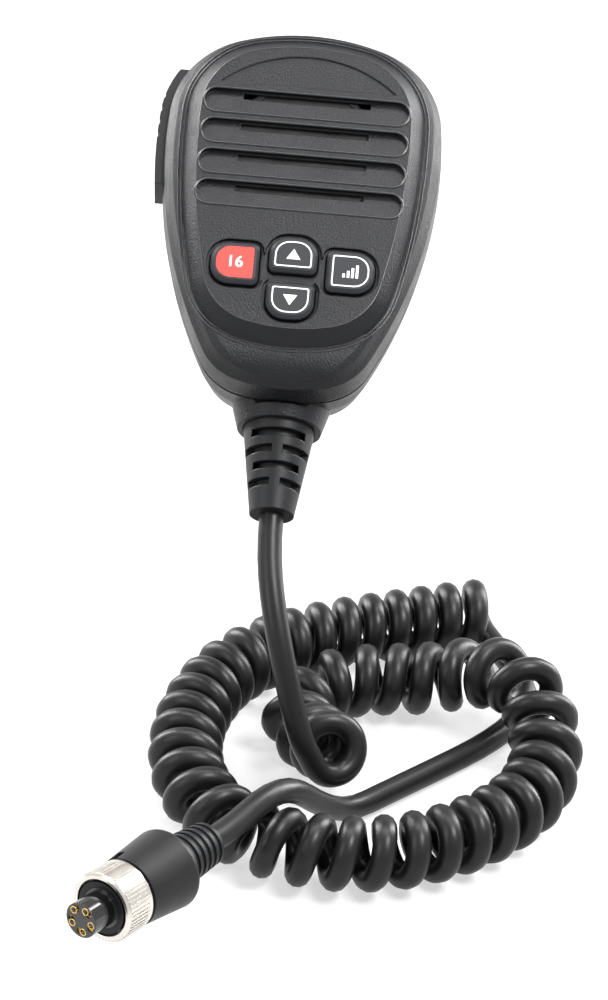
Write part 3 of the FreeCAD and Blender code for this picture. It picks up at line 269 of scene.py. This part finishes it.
# Keys: soft-touch silicone caps, moulded charcoal. The red key carries a bright red printed panel with
# its number, and the other three carry thin white printed outlines and signs.
KEY_WIDTH = 11.6
KEY_HEIGHT = 10.8
KEY_CENTRE_HEIGHT = 9.4
KEY_SIDE_X = 13.9
KEY_SIDE_Z = -36.2
KEY_UP_Z = -32.9
KEY_DOWN_Z = -45.0
KEY_ROUND = 4.6
KEY_SMALL = 1.6
KEY_TOP_Y = FASCIA_Y - 0.9
PRINT_THICK = 0.05
OUTLINE_INSET = 1.35
OUTLINE_WIDTH = 0.32
CORNER_SHARE = 0.8
CORNER_LEAST = 0.5
PANEL_LIFT = 0.04
PRINT_LIFT = 0.03
NUMBER_LIFT = 0.07


def finish_mesh(name, points, faces, material):
    """A piece from points in the model's frame and faces that are listed to look outwards."""
    mesh = bpy.data.meshes.new(name)
    mesh.from_pydata([tuple(p) for p in points], [], faces)
    mesh.validate()
    mesh.materials.append(material)
    return piece_of(name, mesh)


def printed_patch(name, outline, top_y, material):
    """A thin flat layer with that outline, on a face that looks forward."""
    count = len(outline)
    points = [at(x, top_y, z) for x, z in outline] + [at(x, top_y + PRINT_THICK, z) for x, z in outline]
    faces = [list(range(count)), list(range(2 * count - 1, count - 1, -1))]
    faces += [[i, i + count, (i + 1) % count + count, (i + 1) % count] for i in range(count)]
    return finish_mesh(name, points, faces, material)


def printed_ring(name, outer, inner, top_y, material):
    """A thin printed line between two outlines with the same count of points."""
    count = len(outer)
    points = []
    for depth in (top_y, top_y + PRINT_THICK):
        for outline in (outer, inner):
            points += [at(x, depth, z) for x, z in outline]
    faces = []
    for i in range(count):
        j = (i + 1) % count
        faces += [
            [i, j, j + count, i + count],
            [i + 2 * count, i + 3 * count, j + 3 * count, j + 2 * count],
            [j, i, i + 2 * count, j + 2 * count],
            [i + count, j + count, j + 3 * count, i + 3 * count],
        ]
    return finish_mesh(name, points, faces, material)


key_rubber, key_shader = new_material("soft-touch silicone rubber", "#26272B", 0.5, ior=1.43,
                                      specular=0.3)
grained(key_rubber, key_shader, 0.3, 0.015, 0.45, 0.44, 0.52)
red_print, red_shader = new_material("screen-printed red silicone ink", "#F2382F", 0.42)
grained(red_print, red_shader, 0.5, 0.008, 0.05, 0.38, 0.46)
white_print, white_shader = new_material("screen-printed white ink", "#F1F1EE", 0.45)
grained(white_print, white_shader, 0.4, 0.005, 0.03, 0.42, 0.5)

big, small = KEY_ROUND, KEY_SMALL
key_forms = {
    "key_channel_16": (-KEY_SIDE_X, KEY_SIDE_Z, KEY_HEIGHT, (big, small, small, big)),
    "key_up": (0.0, KEY_UP_Z, KEY_CENTRE_HEIGHT, (small, small, big, big)),
    "key_down": (0.0, KEY_DOWN_Z, KEY_CENTRE_HEIGHT, (big, big, small, small)),
    "key_power_level": (KEY_SIDE_X, KEY_SIDE_Z, KEY_HEIGHT, (small, big, big, small)),
}
for key, (x, z, height, corners) in key_forms.items():
    dress(key, key_rubber)
    outlines = []
    for inset in (OUTLINE_INSET, OUTLINE_INSET + OUTLINE_WIDTH):
        radii = [max(c - inset * CORNER_SHARE, CORNER_LEAST) for c in corners]
        outlines.append(rounded_outline(x, z, KEY_WIDTH - 2 * inset, height - 2 * inset, radii))
    if key == "key_channel_16":
        panel = printed_patch("red_panel", outlines[0], KEY_TOP_Y - PANEL_LIFT, red_print)
        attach(panel, key + "_body")
    else:
        line = printed_ring(key + "_outline", *outlines, KEY_TOP_Y - PRINT_LIFT, white_print)
        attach(line, key + "_body")

TRIANGLE_WIDTH = 3.4
TRIANGLE_HEIGHT = 2.7
for key, z, way in (("key_up", KEY_UP_Z, 1), ("key_down", KEY_DOWN_Z, -1)):
    base = z - way * TRIANGLE_HEIGHT / 2
    tip = z + way * TRIANGLE_HEIGHT / 2
    sign = [(-TRIANGLE_WIDTH / 2, base), (TRIANGLE_WIDTH / 2, base), (0.0, tip)]
    triangle = printed_patch(key + "_sign", sign[::way], KEY_TOP_Y - PRINT_LIFT, white_print)
    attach(triangle, key + "_body")

BAR_COUNT = 4
BAR_WIDTH = 0.62
BAR_PITCH = 1.05
BAR_FOOT = 1.7
BAR_FIRST = 1.0
BAR_STEP = 0.8
for i in range(BAR_COUNT):
    x = KEY_SIDE_X + (i - (BAR_COUNT - 1) / 2) * BAR_PITCH
    left_x, right_x = x - BAR_WIDTH / 2, x + BAR_WIDTH / 2
    low = KEY_SIDE_Z - BAR_FOOT
    high = low + BAR_FIRST + BAR_STEP * i
    corners = [(left_x, low), (right_x, low), (right_x, high), (left_x, high)]
    bar = printed_patch("level_bar_%d" % (i + 1), corners, KEY_TOP_Y - PRINT_LIFT, white_print)
    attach(bar, "key_power_level_body")

NUMBER_SIZE = 4.1
NUMBER_WEIGHT = 0.06
text = bpy.data.curves.new("number_16", "FONT")
text.body = "16"
text.align_x = "CENTER"
text.align_y = "CENTER"
text.size = NUMBER_SIZE
text.extrude = PRINT_THICK / 2
text.offset = NUMBER_WEIGHT
text.resolution_u = 4
digits = plain_mesh(bpy.data.objects.new("number_16", text))
for v in digits.vertices:
    v.co = at(-KEY_SIDE_X + v.co.x, KEY_TOP_Y - NUMBER_LIFT - v.co.z, KEY_SIDE_Z + v.co.y)
digits.materials.clear()
digits.materials.append(white_print)
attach(piece_of("number_16", digits), "key_channel_16_body")


# Talk key, strain relief and the connector's boot: moulded thermoplastic rubber, satin black.
talk_rubber, talk_shader = new_material("moulded thermoplastic rubber", "#101113", 0.5, specular=0.24)
grained(talk_rubber, talk_shader, 0.5, 0.03, 0.4, 0.42, 0.52)
for node in ("talk_key", "strain_relief", "connector_boot"):
    dress(node, talk_rubber)


# Hanger stud: a turned black acetal mushroom on the back, held by one countersunk steel screw. It
# hooks the handset into its holder.
acetal, acetal_shader = new_material("turned acetal", "#161618", 0.35, ior=1.48)
grained(acetal, acetal_shader, 1.4, 0.01, 0.4, 0.3, 0.4)
dress("hanger_stud", acetal)


# Screws, pins, snap domes, the speaker's frame and magnet, the microphone's can and the nut's ring:
# zinc-plated steel, bright, with fine scratches.
STEEL_EDGE = 0.15
SCRATCH_DEPTH = 0.004
SCRATCH_STRETCH = 0.12


def brushed(name, colour, roughness, scratch):
    """A plated metal with fine scratches of that spacing in millimetres."""
    material, shader = new_material(name, colour, roughness, metallic=1.0)
    tree = material.node_tree
    place = add(tree, "ShaderNodeTexCoord")
    stretched = add(tree, "ShaderNodeMapping", {
        "Vector": place.outputs["Object"], "Scale": (1.0, SCRATCH_STRETCH, 1.0)})
    lines = add(tree, "ShaderNodeTexNoise", {
        "Vector": stretched.outputs["Vector"], "Scale": 1 / (scratch * MM), "Detail": 4.0})
    worn = add(tree, "ShaderNodeMapRange", {
        "Value": lines.outputs["Fac"], "From Min": 0.3, "From Max": 0.7,
        "To Min": roughness * 0.75, "To Max": roughness * 1.3})
    edge = add(tree, "ShaderNodeBevel", {"Radius": STEEL_EDGE * MM}, samples=4)
    bump = add(tree, "ShaderNodeBump", {
        "Height": lines.outputs["Fac"], "Strength": 1.0, "Distance": SCRATCH_DEPTH * MM,
        "Normal": edge.outputs["Normal"]})
    tree.links.new(worn.outputs["Result"], shader.inputs["Roughness"])
    tree.links.new(bump.outputs["Normal"], shader.inputs["Normal"])
    return material


steel = brushed("zinc-plated steel", "#B9BCC0", 0.3, 0.3)
for node in ("hanger_stud_screw", "housing_screws", "board_screws", "talk_pin", "key_domes",
             "speaker_basket", "speaker_magnet", "microphone_capsule", "nut_retaining_ring"):
    dress(node, steel)


# Speaker cone and the film over it: pressed polyester film, thin and faintly glossy.
film, film_shader = new_material("pressed polyester film", "#08080A", 0.3, ior=1.6)
grained(film, film_shader, 2.5, 0.02, 0.05, 0.24, 0.36)
dress("speaker_cone", film)
dress("speaker_membrane", film)


# Circuit board: glass-fibre laminate under green solder resist, its copper tracks just raised. Its
# header, the cord's clamp and the talk key's switch are moulded black nylon.
RESIST_COLOUR = "#0E4A2A"
TRACK_SIZE = 2.4
TRACK_HEIGHT = 0.03


def track_pattern(material, shader):
    """Rows of short copper tracks that stand a little proud under the resist."""
    tree = material.node_tree
    place = add(tree, "ShaderNodeTexCoord")
    tracks = add(tree, "ShaderNodeTexBrick", {
        "Vector": place.outputs["Object"], "Scale": 1 / (TRACK_SIZE * MM), "Mortar Size": 0.06,
        "Color1": paint(RESIST_COLOUR), "Color2": paint("#0B3B22"), "Mortar": paint("#1B6B3D")})
    bump = add(tree, "ShaderNodeBump", {
        "Height": tracks.outputs["Fac"], "Strength": 1.0, "Distance": TRACK_HEIGHT * MM})
    tree.links.new(tracks.outputs["Color"], shader.inputs["Base Color"])
    tree.links.new(bump.outputs["Normal"], shader.inputs["Normal"])


resist, resist_shader = new_material("green solder resist", RESIST_COLOUR, 0.25, ior=1.55)
track_pattern(resist, resist_shader)
dress("circuit_board", resist)
nylon, nylon_shader = new_material("moulded black nylon", "#1A1A1B", 0.45, ior=1.53)
grained(nylon, nylon_shader, 0.5, 0.015, 0.15, 0.4, 0.5)
for node in ("board_header", "cord_clamp", "talk_switch"):
    dress(node, nylon)


# Curly cord: five cores in an extruded polyurethane jacket 6 mm thick, wound hot into a coil that
# springs back. It hangs from the strain relief, drops into the coil, and runs on uncoiled to the
# connector.
FLOOR_Z = -105.0
WIRE_RADIUS = 3.0
CURL_RADIUS = 6.3
CURL_GAP = 0.9
OPEN_STATIONS = 30
OPEN_PITCH = 2.6
CURL_STEPS = 16
CURL_START_ANGLE = 0.45
CURL_PHASE = -0.4
CURL_END_MARGIN = 0.02
SMALL_ANGLE = 0.01
EXIT_LEAD = 9.0
START_LEADS = (9.0, 3.0)
END_LEAD = 5.0
CONNECTOR_LEAD = 9.0
EXIT = at(0.0, -14.9, -90.2)
STRAND = [
    (22.8, -117.5, 19.6), (21.0, -111.0, 16.9), (16.8, -101.5, 12.8), (10.5, -92.0, 10.2),
    (10.0, -82.0, 9.6), (16.0, -72.5, 9.6), (28.0, -67.5, 9.6), (42.0, -66.5, 9.8),
    (54.0, -67.5, 14.5), (63.0, -73.5, 18.6), (69.5, -83.0, 17.2), (72.5, -95.0, 10.6),
    (70.0, -109.0, 9.6), (61.0, -123.0, 9.6), (46.0, -135.0, 9.6), (29.0, -141.5, 9.6),
    (11.0, -141.0, 9.6), (-5.0, -134.0, 9.6), (-15.0, -118.0, 9.6), (-17.0, -99.0, 9.6),
    (-13.0, -79.0, 9.6), (-3.0, -62.0, 9.6), (15.0, -50.0, 9.6), (35.0, -42.0, 9.6),
    (53.0, -34.5, 9.6), (64.0, -31.5, 9.6), (71.0, -36.0, 9.6), (74.0, -46.0, 9.6),
]
UPPER_ROUTE = [(2.2, -99.3, 50.0), (6.2, -108.0, 38.0)]
LOWER_ROUTE = [
    (68.5, -57.0, 3.2), (66.5, -70.0, 3.2), (57.5, -83.0, 3.2), (45.5, -95.0, 3.2),
    (33.5, -106.6, 3.2), (24.5, -115.5, 3.2), (17.2, -124.5, 11.2), (10.8, -133.0, 21.6),
    (4.6, -142.5, 25.6), (-2.9, -154.2, 23.9),
]
CONNECTOR_WAY = Vector((-0.567, -0.82, 0.087)).normalized()


def floor_point(point):
    """A place given across, along and above the floor, in millimetres in the model's frame."""
    return Vector((point[0], point[1], FLOOR_Z + point[2]))


def strand_line(steps=24):
    """Points along the coil's axis: a uniform cubic B-spline on the strand's control points."""
    control = [floor_point(p) for p in STRAND]
    line = []
    for a, b, c, d in zip(control, control[1:], control[2:], control[3:]):
        for step in range(steps):
            t = step / steps
            line.append((a * (1 - t) ** 3 + b * (3 * t ** 3 - 6 * t ** 2 + 4)
                         + c * (-3 * t ** 3 + 3 * t ** 2 + 3 * t + 1) + d * t ** 3) / 6)
    return line


def coil_stations():
    """Points of the axis, each with its two cross directions and the coil's angle there."""
    line = strand_line()
    stations = []
    angle = CURL_PHASE
    for i in range(1, len(line) - 1):
        way = (line[i + 1] - line[i - 1]).normalized()
        side = Vector((0, 0, 1)).cross(way).normalized()
        step_in, step_out = line[i] - line[i - 1], line[i + 1] - line[i]
        bend = step_in.angle(step_out) / ((step_in.length + step_out.length) / 2)
        # The gap is kept on a bend's inside, so the turns open on its outside.
        pitch = (2 * WIRE_RADIUS + CURL_GAP) / (1 - CURL_RADIUS * bend)
        if len(line) - i < OPEN_STATIONS:
            pitch *= OPEN_PITCH
        angle += 2 * math.pi * step_in.length / pitch
        stations.append((line[i], side, way.cross(side), angle))
    return stations


def coil_place(stations, angle):
    """The wire's place at that angle of the coil."""
    low, high = 0, len(stations) - 1
    while high - low > 1:
        middle = (low + high) // 2
        if stations[middle][3] <= angle:
            low = middle
        else:
            high = middle
    a, b = stations[low], stations[high]
    t = (angle - a[3]) / (b[3] - a[3])
    side = a[1].lerp(b[1], t).normalized()
    lift = a[2].lerp(b[2], t).normalized()
    return a[0].lerp(b[0], t) + (side * math.cos(angle) - lift * math.sin(angle)) * CURL_RADIUS


def coil_way(stations, angle):
    """The wire's direction at that angle of the coil."""
    ahead, behind = coil_place(stations, angle + SMALL_ANGLE), coil_place(stations, angle - SMALL_ANGLE)
    return (ahead - behind).normalized()


stations = coil_stations()
turns = int((stations[-1][3] - CURL_END_MARGIN - math.pi / 2) / (2 * math.pi))
last_step = int(round((turns + 0.25) * CURL_STEPS))
first_step = int(CURL_START_ANGLE * CURL_STEPS / (2 * math.pi)) + 1
angles = [CURL_START_ANGLE] + [2 * math.pi * i / CURL_STEPS for i in range(first_step, last_step + 1)]
coil = [coil_place(stations, angle) for angle in angles]
coil_start_way = coil_way(stations, angles[0])
coil_end_way = coil_way(stations, angles[-1])
exit_way = at(0, 0, -1).normalized()
exit_mm = EXIT / MM
cable_end = floor_point(LOWER_ROUTE[-1]) + CONNECTOR_WAY * CONNECTOR_LEAD
route = [exit_mm, exit_mm + exit_way * EXIT_LEAD] + [floor_point(p) for p in UPPER_ROUTE]
route += [coil[0] - coil_start_way * lead for lead in START_LEADS] + coil
route += [coil[-1] + coil_end_way * END_LEAD] + [floor_point(p) for p in LOWER_ROUTE] + [cable_end]

cord_curve = bpy.data.curves.new("curly_cord", "CURVE")
cord_curve.dimensions = "3D"
cord_curve.bevel_depth = WIRE_RADIUS * MM
cord_curve.bevel_resolution = 4
cord_curve.resolution_u = 3
cord_curve.use_fill_caps = True
spline = cord_curve.splines.new("NURBS")
spline.points.add(len(route) - 1)
for point, place in zip(spline.points, route):
    point.co = (*(place * MM), 1.0)
spline.order_u = 3
spline.use_endpoint_u = True
jacket, jacket_shader = new_material("extruded polyurethane jacket", "#141213", 0.4, specular=0.24)
grained(jacket, jacket_shader, 0.8, 0.012, 0.05, 0.33, 0.42)
cord_curve.materials.append(jacket)
curly_cord = bpy.data.objects.new("curly_cord", cord_curve)
bpy.context.scene.collection.objects.link(curly_cord)
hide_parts("cord_upper", "cord_curl", "cord_lower")
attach(curly_cord, "handset")


# Connector: an overmoulded black body with a nickel-plated, knurled brass nut and a glossy black
# thermoset insert, whose five sockets have bright metal rims.
BOOT_LENGTH = 13.5
BODY_LENGTH = 15.5
NUT_RADIUS = 8.2
NUT_LENGTH = 8.6
NUT_CLEARANCE = 0.3
NUT_START = BOOT_LENGTH + BODY_LENGTH + NUT_CLEARANCE
INSERT_OVERLAP = 2.0
INSERT_LENGTH = 18.0
INSERT_END = BOOT_LENGTH + BODY_LENGTH - INSERT_OVERLAP + INSERT_LENGTH
CONTACT_COUNT = 5
CONTACT_RING = 2.85
CONTACT_HOLE_RADIUS = 0.8
KNURL_COUNT = 56
KNURL_LENGTH = 6.4
KNURL_HEIGHT = 0.35
KNURL_WIDTH = 0.5
KNURL_SINK = 0.1
KNURL_SHIFT = 0.6
RIM_WIRE = 0.13

body_plastic, body_shader = new_material("overmoulded thermoplastic rubber", "#101012", 0.45,
                                         specular=0.24)
grained(body_plastic, body_shader, 0.45, 0.03, 0.4, 0.38, 0.5)
dress("connector_body", body_plastic)
thermoset, thermoset_shader = new_material("polished thermoset", "#0C0C0D", 0.12, ior=1.6)
grained(thermoset, thermoset_shader, 3.0, 0.01, 0.2, 0.08, 0.16)
dress("connector_insert", thermoset)
brass = brushed("gold-plated brass", "#D8B467", 0.25, 0.2)
dress("connector_contacts", brass)
nickel = brushed("nickel-plated brass", "#CFCBC4", 0.22, 0.4)
dress("coupling_nut", nickel)
plug_turn = CONNECTOR_WAY.to_track_quat("Z", "Y").to_matrix().to_4x4()
plug_frame = Matrix.Translation(cable_end * MM) @ plug_turn


def ring_tree(name, inputs, unit):
    """Geometry nodes: one form spread evenly round an axis, which the unit function makes."""
    tree = bpy.data.node_groups.new(name, "GeometryNodeTree")
    kinds = {"Count": "NodeSocketInt", "Ring": "NodeSocketFloat", **inputs,
             "Finish": "NodeSocketMaterial"}
    for label, kind in kinds.items():
        tree.interface.new_socket(label, in_out="INPUT", socket_type=kind)
    tree.interface.new_socket("Geometry", in_out="OUTPUT", socket_type="NodeSocketGeometry")
    given = add(tree, "NodeGroupInput")
    circle = add(tree, "GeometryNodeMeshCircle", {
        "Vertices": given.outputs["Count"], "Radius": given.outputs["Ring"]})
    form, turn = unit(tree, given)
    spread = add(tree, "GeometryNodeInstanceOnPoints", {
        "Points": circle.outputs["Mesh"], "Instance": form, **turn})
    real = add(tree, "GeometryNodeRealizeInstances", {"Geometry": spread.outputs["Instances"]})
    finish = add(tree, "GeometryNodeSetMaterial", {
        "Geometry": real.outputs["Geometry"], "Material": given.outputs["Finish"]})
    add(tree, "NodeGroupOutput", {"Geometry": finish.outputs["Geometry"]})
    return tree


def knurl_bar(tree, given):
    """One bar of a straight knurl, turned to face outwards."""
    bar = add(tree, "GeometryNodeMeshCube", {"Size": given.outputs["Bar"]})
    where = add(tree, "GeometryNodeInputPosition")
    facing = add(tree, "FunctionNodeAlignRotationToVector", {"Vector": where.outputs["Position"]},
                 axis="X")
    return bar.outputs["Mesh"], {"Rotation": facing.outputs["Rotation"]}


def socket_rim(tree, given):
    """One round wire rim, the lip of a socket."""
    rim = add(tree, "GeometryNodeCurvePrimitiveCircle", {
        "Resolution": 24, "Radius": given.outputs["Rim"]})
    wire = add(tree, "GeometryNodeCurvePrimitiveCircle", {
        "Resolution": 8, "Radius": given.outputs["Wire"]})
    lip = add(tree, "GeometryNodeCurveToMesh", {
        "Curve": rim.outputs["Curve"], "Profile Curve": wire.outputs["Curve"]})
    return lip.outputs["Mesh"], {}


def grown(name, tree, values, place):
    """A plain mesh piece from a geometry-node tree and its inputs, moved to its place in the mesh."""
    maker = bpy.data.objects.new(name + "_maker", bpy.data.meshes.new(name + "_maker"))
    modifier = maker.modifiers.new("nodes", "NODES")
    modifier.node_group = tree
    for item in tree.interface.items_tree:
        if item.in_out == "INPUT" and item.name in values:
            modifier[item.identifier] = values[item.name]
    mesh = plain_mesh(maker)
    mesh.transform(place)
    return piece_of(name, mesh)


knurl_tree = ring_tree("knurl bars", {"Bar": "NodeSocketVector"}, knurl_bar)
knurl_place = Matrix.Translation((0, 0, (NUT_START + NUT_LENGTH / 2 + KNURL_SHIFT) * MM))
knurl = grown("nut_knurl", knurl_tree, {
    "Count": KNURL_COUNT, "Ring": (NUT_RADIUS - KNURL_SINK) * MM,
    "Bar": (KNURL_HEIGHT * 2 * MM, KNURL_WIDTH * MM, KNURL_LENGTH * MM), "Finish": nickel,
}, plug_frame @ knurl_place)
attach(knurl, "nut_body")
rim_tree = ring_tree("socket rims", {"Rim": "NodeSocketFloat", "Wire": "NodeSocketFloat"}, socket_rim)
rims = grown("socket_rims", rim_tree, {
    "Count": CONTACT_COUNT, "Ring": CONTACT_RING * MM, "Rim": CONTACT_HOLE_RADIUS * MM,
    "Wire": RIM_WIRE * MM, "Finish": brass,
}, plug_frame @ Matrix.Translation((0, 0, INSERT_END * MM)))
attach(rims, "handset")


# Table: a plain white board, painted matt, that the coil lies on. Soft lamps above and behind draw the
# pale rim on the black shell.
FLOOR_SIZE = 3.0
FLOOR_COLOUR = "#F2F2F2"
FLOOR_DROP = 0.05
FLOOR_GLOW = 0.6
WORLD_LIGHT = 0.22


def seen_white(tree, base_strength, seen_strength):
    """One strength for what is seen, also in reflections, and another for the light it gives."""
    path = add(tree, "ShaderNodeLightPath")
    seen = path.outputs["Is Camera Ray"]
    for ray in ("Is Glossy Ray", "Is Transmission Ray"):
        either = add(tree, "ShaderNodeMath", {0: seen, 1: path.outputs[ray]}, operation="MAXIMUM")
        seen = either.outputs[0]
    return add(tree, "ShaderNodeMapRange", {
        "Value": seen, "To Min": base_strength, "To Max": seen_strength}).outputs["Result"]


half = FLOOR_SIZE / 2
floor_material, floor_shader = new_material("matt white board", FLOOR_COLOUR, 0.9)
floor_tree = floor_material.node_tree
glow = add(floor_tree, "ShaderNodeEmission", {"Color": (1, 1, 1, 1), "Strength": 1.0})
mixed = add(floor_tree, "ShaderNodeMixShader", {
    0: seen_white(floor_tree, 0.0, FLOOR_GLOW), 1: floor_shader.outputs[0], 2: glow.outputs[0]})
floor_tree.links.new(mixed.outputs[0], floor_tree.nodes["Material Output"].inputs["Surface"])
floor_corners = ((-half, -half), (half, -half), (half, half), (-half, half))
floor_points = [Vector((x, y, (FLOOR_Z - FLOOR_DROP) * MM)) for x, y in floor_corners]
floor = finish_mesh("table", floor_points, [[0, 1, 2, 3]], floor_material)

world = bpy.data.worlds.new("studio")
bpy.context.scene.world = world
world.use_nodes = True
back = world.node_tree.nodes["Background"]
back.inputs["Color"].default_value = (1, 1, 1, 1)
world.node_tree.links.new(seen_white(world.node_tree, WORLD_LIGHT, 1.0), back.inputs["Strength"])


def lamp(name, place, target, width, height, power):
    """A soft rectangular lamp that looks at a point."""
    light = bpy.data.lights.new(name, "AREA")
    light.shape = "RECTANGLE"
    light.size = width
    light.size_y = height
    light.energy = power
    holder = bpy.data.objects.new(name, light)
    turn = (Vector(target) - Vector(place)).to_track_quat("-Z", "Y").to_matrix().to_4x4()
    holder.matrix_world = Matrix.Translation(place) @ turn
    bpy.context.scene.collection.objects.link(holder)
    return holder


middle = Vector((0.02, -0.06, -0.03))
lamps = [
    lamp("key_lamp", (0.45, -0.35, 0.85), middle, 0.35, 0.35, 13.0),
    lamp("fill_lamp", (-0.7, -0.5, 0.5), middle, 0.4, 0.6, 3.5),
    lamp("left_rim_lamp", (-0.6, 0.45, 0.25), middle, 0.25, 0.8, 12.0),
    lamp("right_rim_lamp", (0.6, 0.45, 0.25), middle, 0.25, 0.8, 12.0),
    lamp("top_lamp", (0.0, 0.2, 0.95), middle, 0.9, 0.3, 9.0),
]


# Camera: a long lens from above the front, turned as the photograph was, so that the handset stands
# at the same slant. The point it aims at, just below the grille, stands at the named pixel.
IMAGE_WIDTH = 608
IMAGE_HEIGHT = 1000
LENS = 142.0
SENSOR = 36.0
DISTANCE = 950.0
ELEVATION = math.radians(32.0)
ROLL = math.radians(4.9)
PICTURE_POINT = (297.3, 215.0)
AIM_Z = -22.0
level_right = Vector((1, 0, 0))
level_up = Vector((0, math.sin(ELEVATION), math.cos(ELEVATION)))
forward = Vector((0, math.cos(ELEVATION), -math.sin(ELEVATION)))
right = level_right * math.cos(ROLL) + level_up * math.sin(ROLL)
up = level_up * math.cos(ROLL) - level_right * math.sin(ROLL)
focal = LENS / SENSOR * IMAGE_HEIGHT
across = (PICTURE_POINT[0] - IMAGE_WIDTH / 2) / focal
above = (IMAGE_HEIGHT / 2 - PICTURE_POINT[1]) / focal
eye = at(0, FASCIA_Y, AIM_Z) - (forward + right * across + up * above) * DISTANCE * MM
camera_data = bpy.data.cameras.new("camera")
camera_data.lens = LENS
camera_data.sensor_width = SENSOR
camera_data.sensor_fit = "AUTO"
camera_data.clip_start = 0.05
camera = bpy.data.objects.new("camera", camera_data)
camera.matrix_world = Matrix((
    (right.x, up.x, -forward.x, eye.x), (right.y, up.y, -forward.y, eye.y),
    (right.z, up.z, -forward.z, eye.z), (0, 0, 0, 1)))
bpy.context.scene.collection.objects.link(camera)
bpy.context.scene.camera = camera
bpy.context.scene.view_settings.view_transform = "Standard"
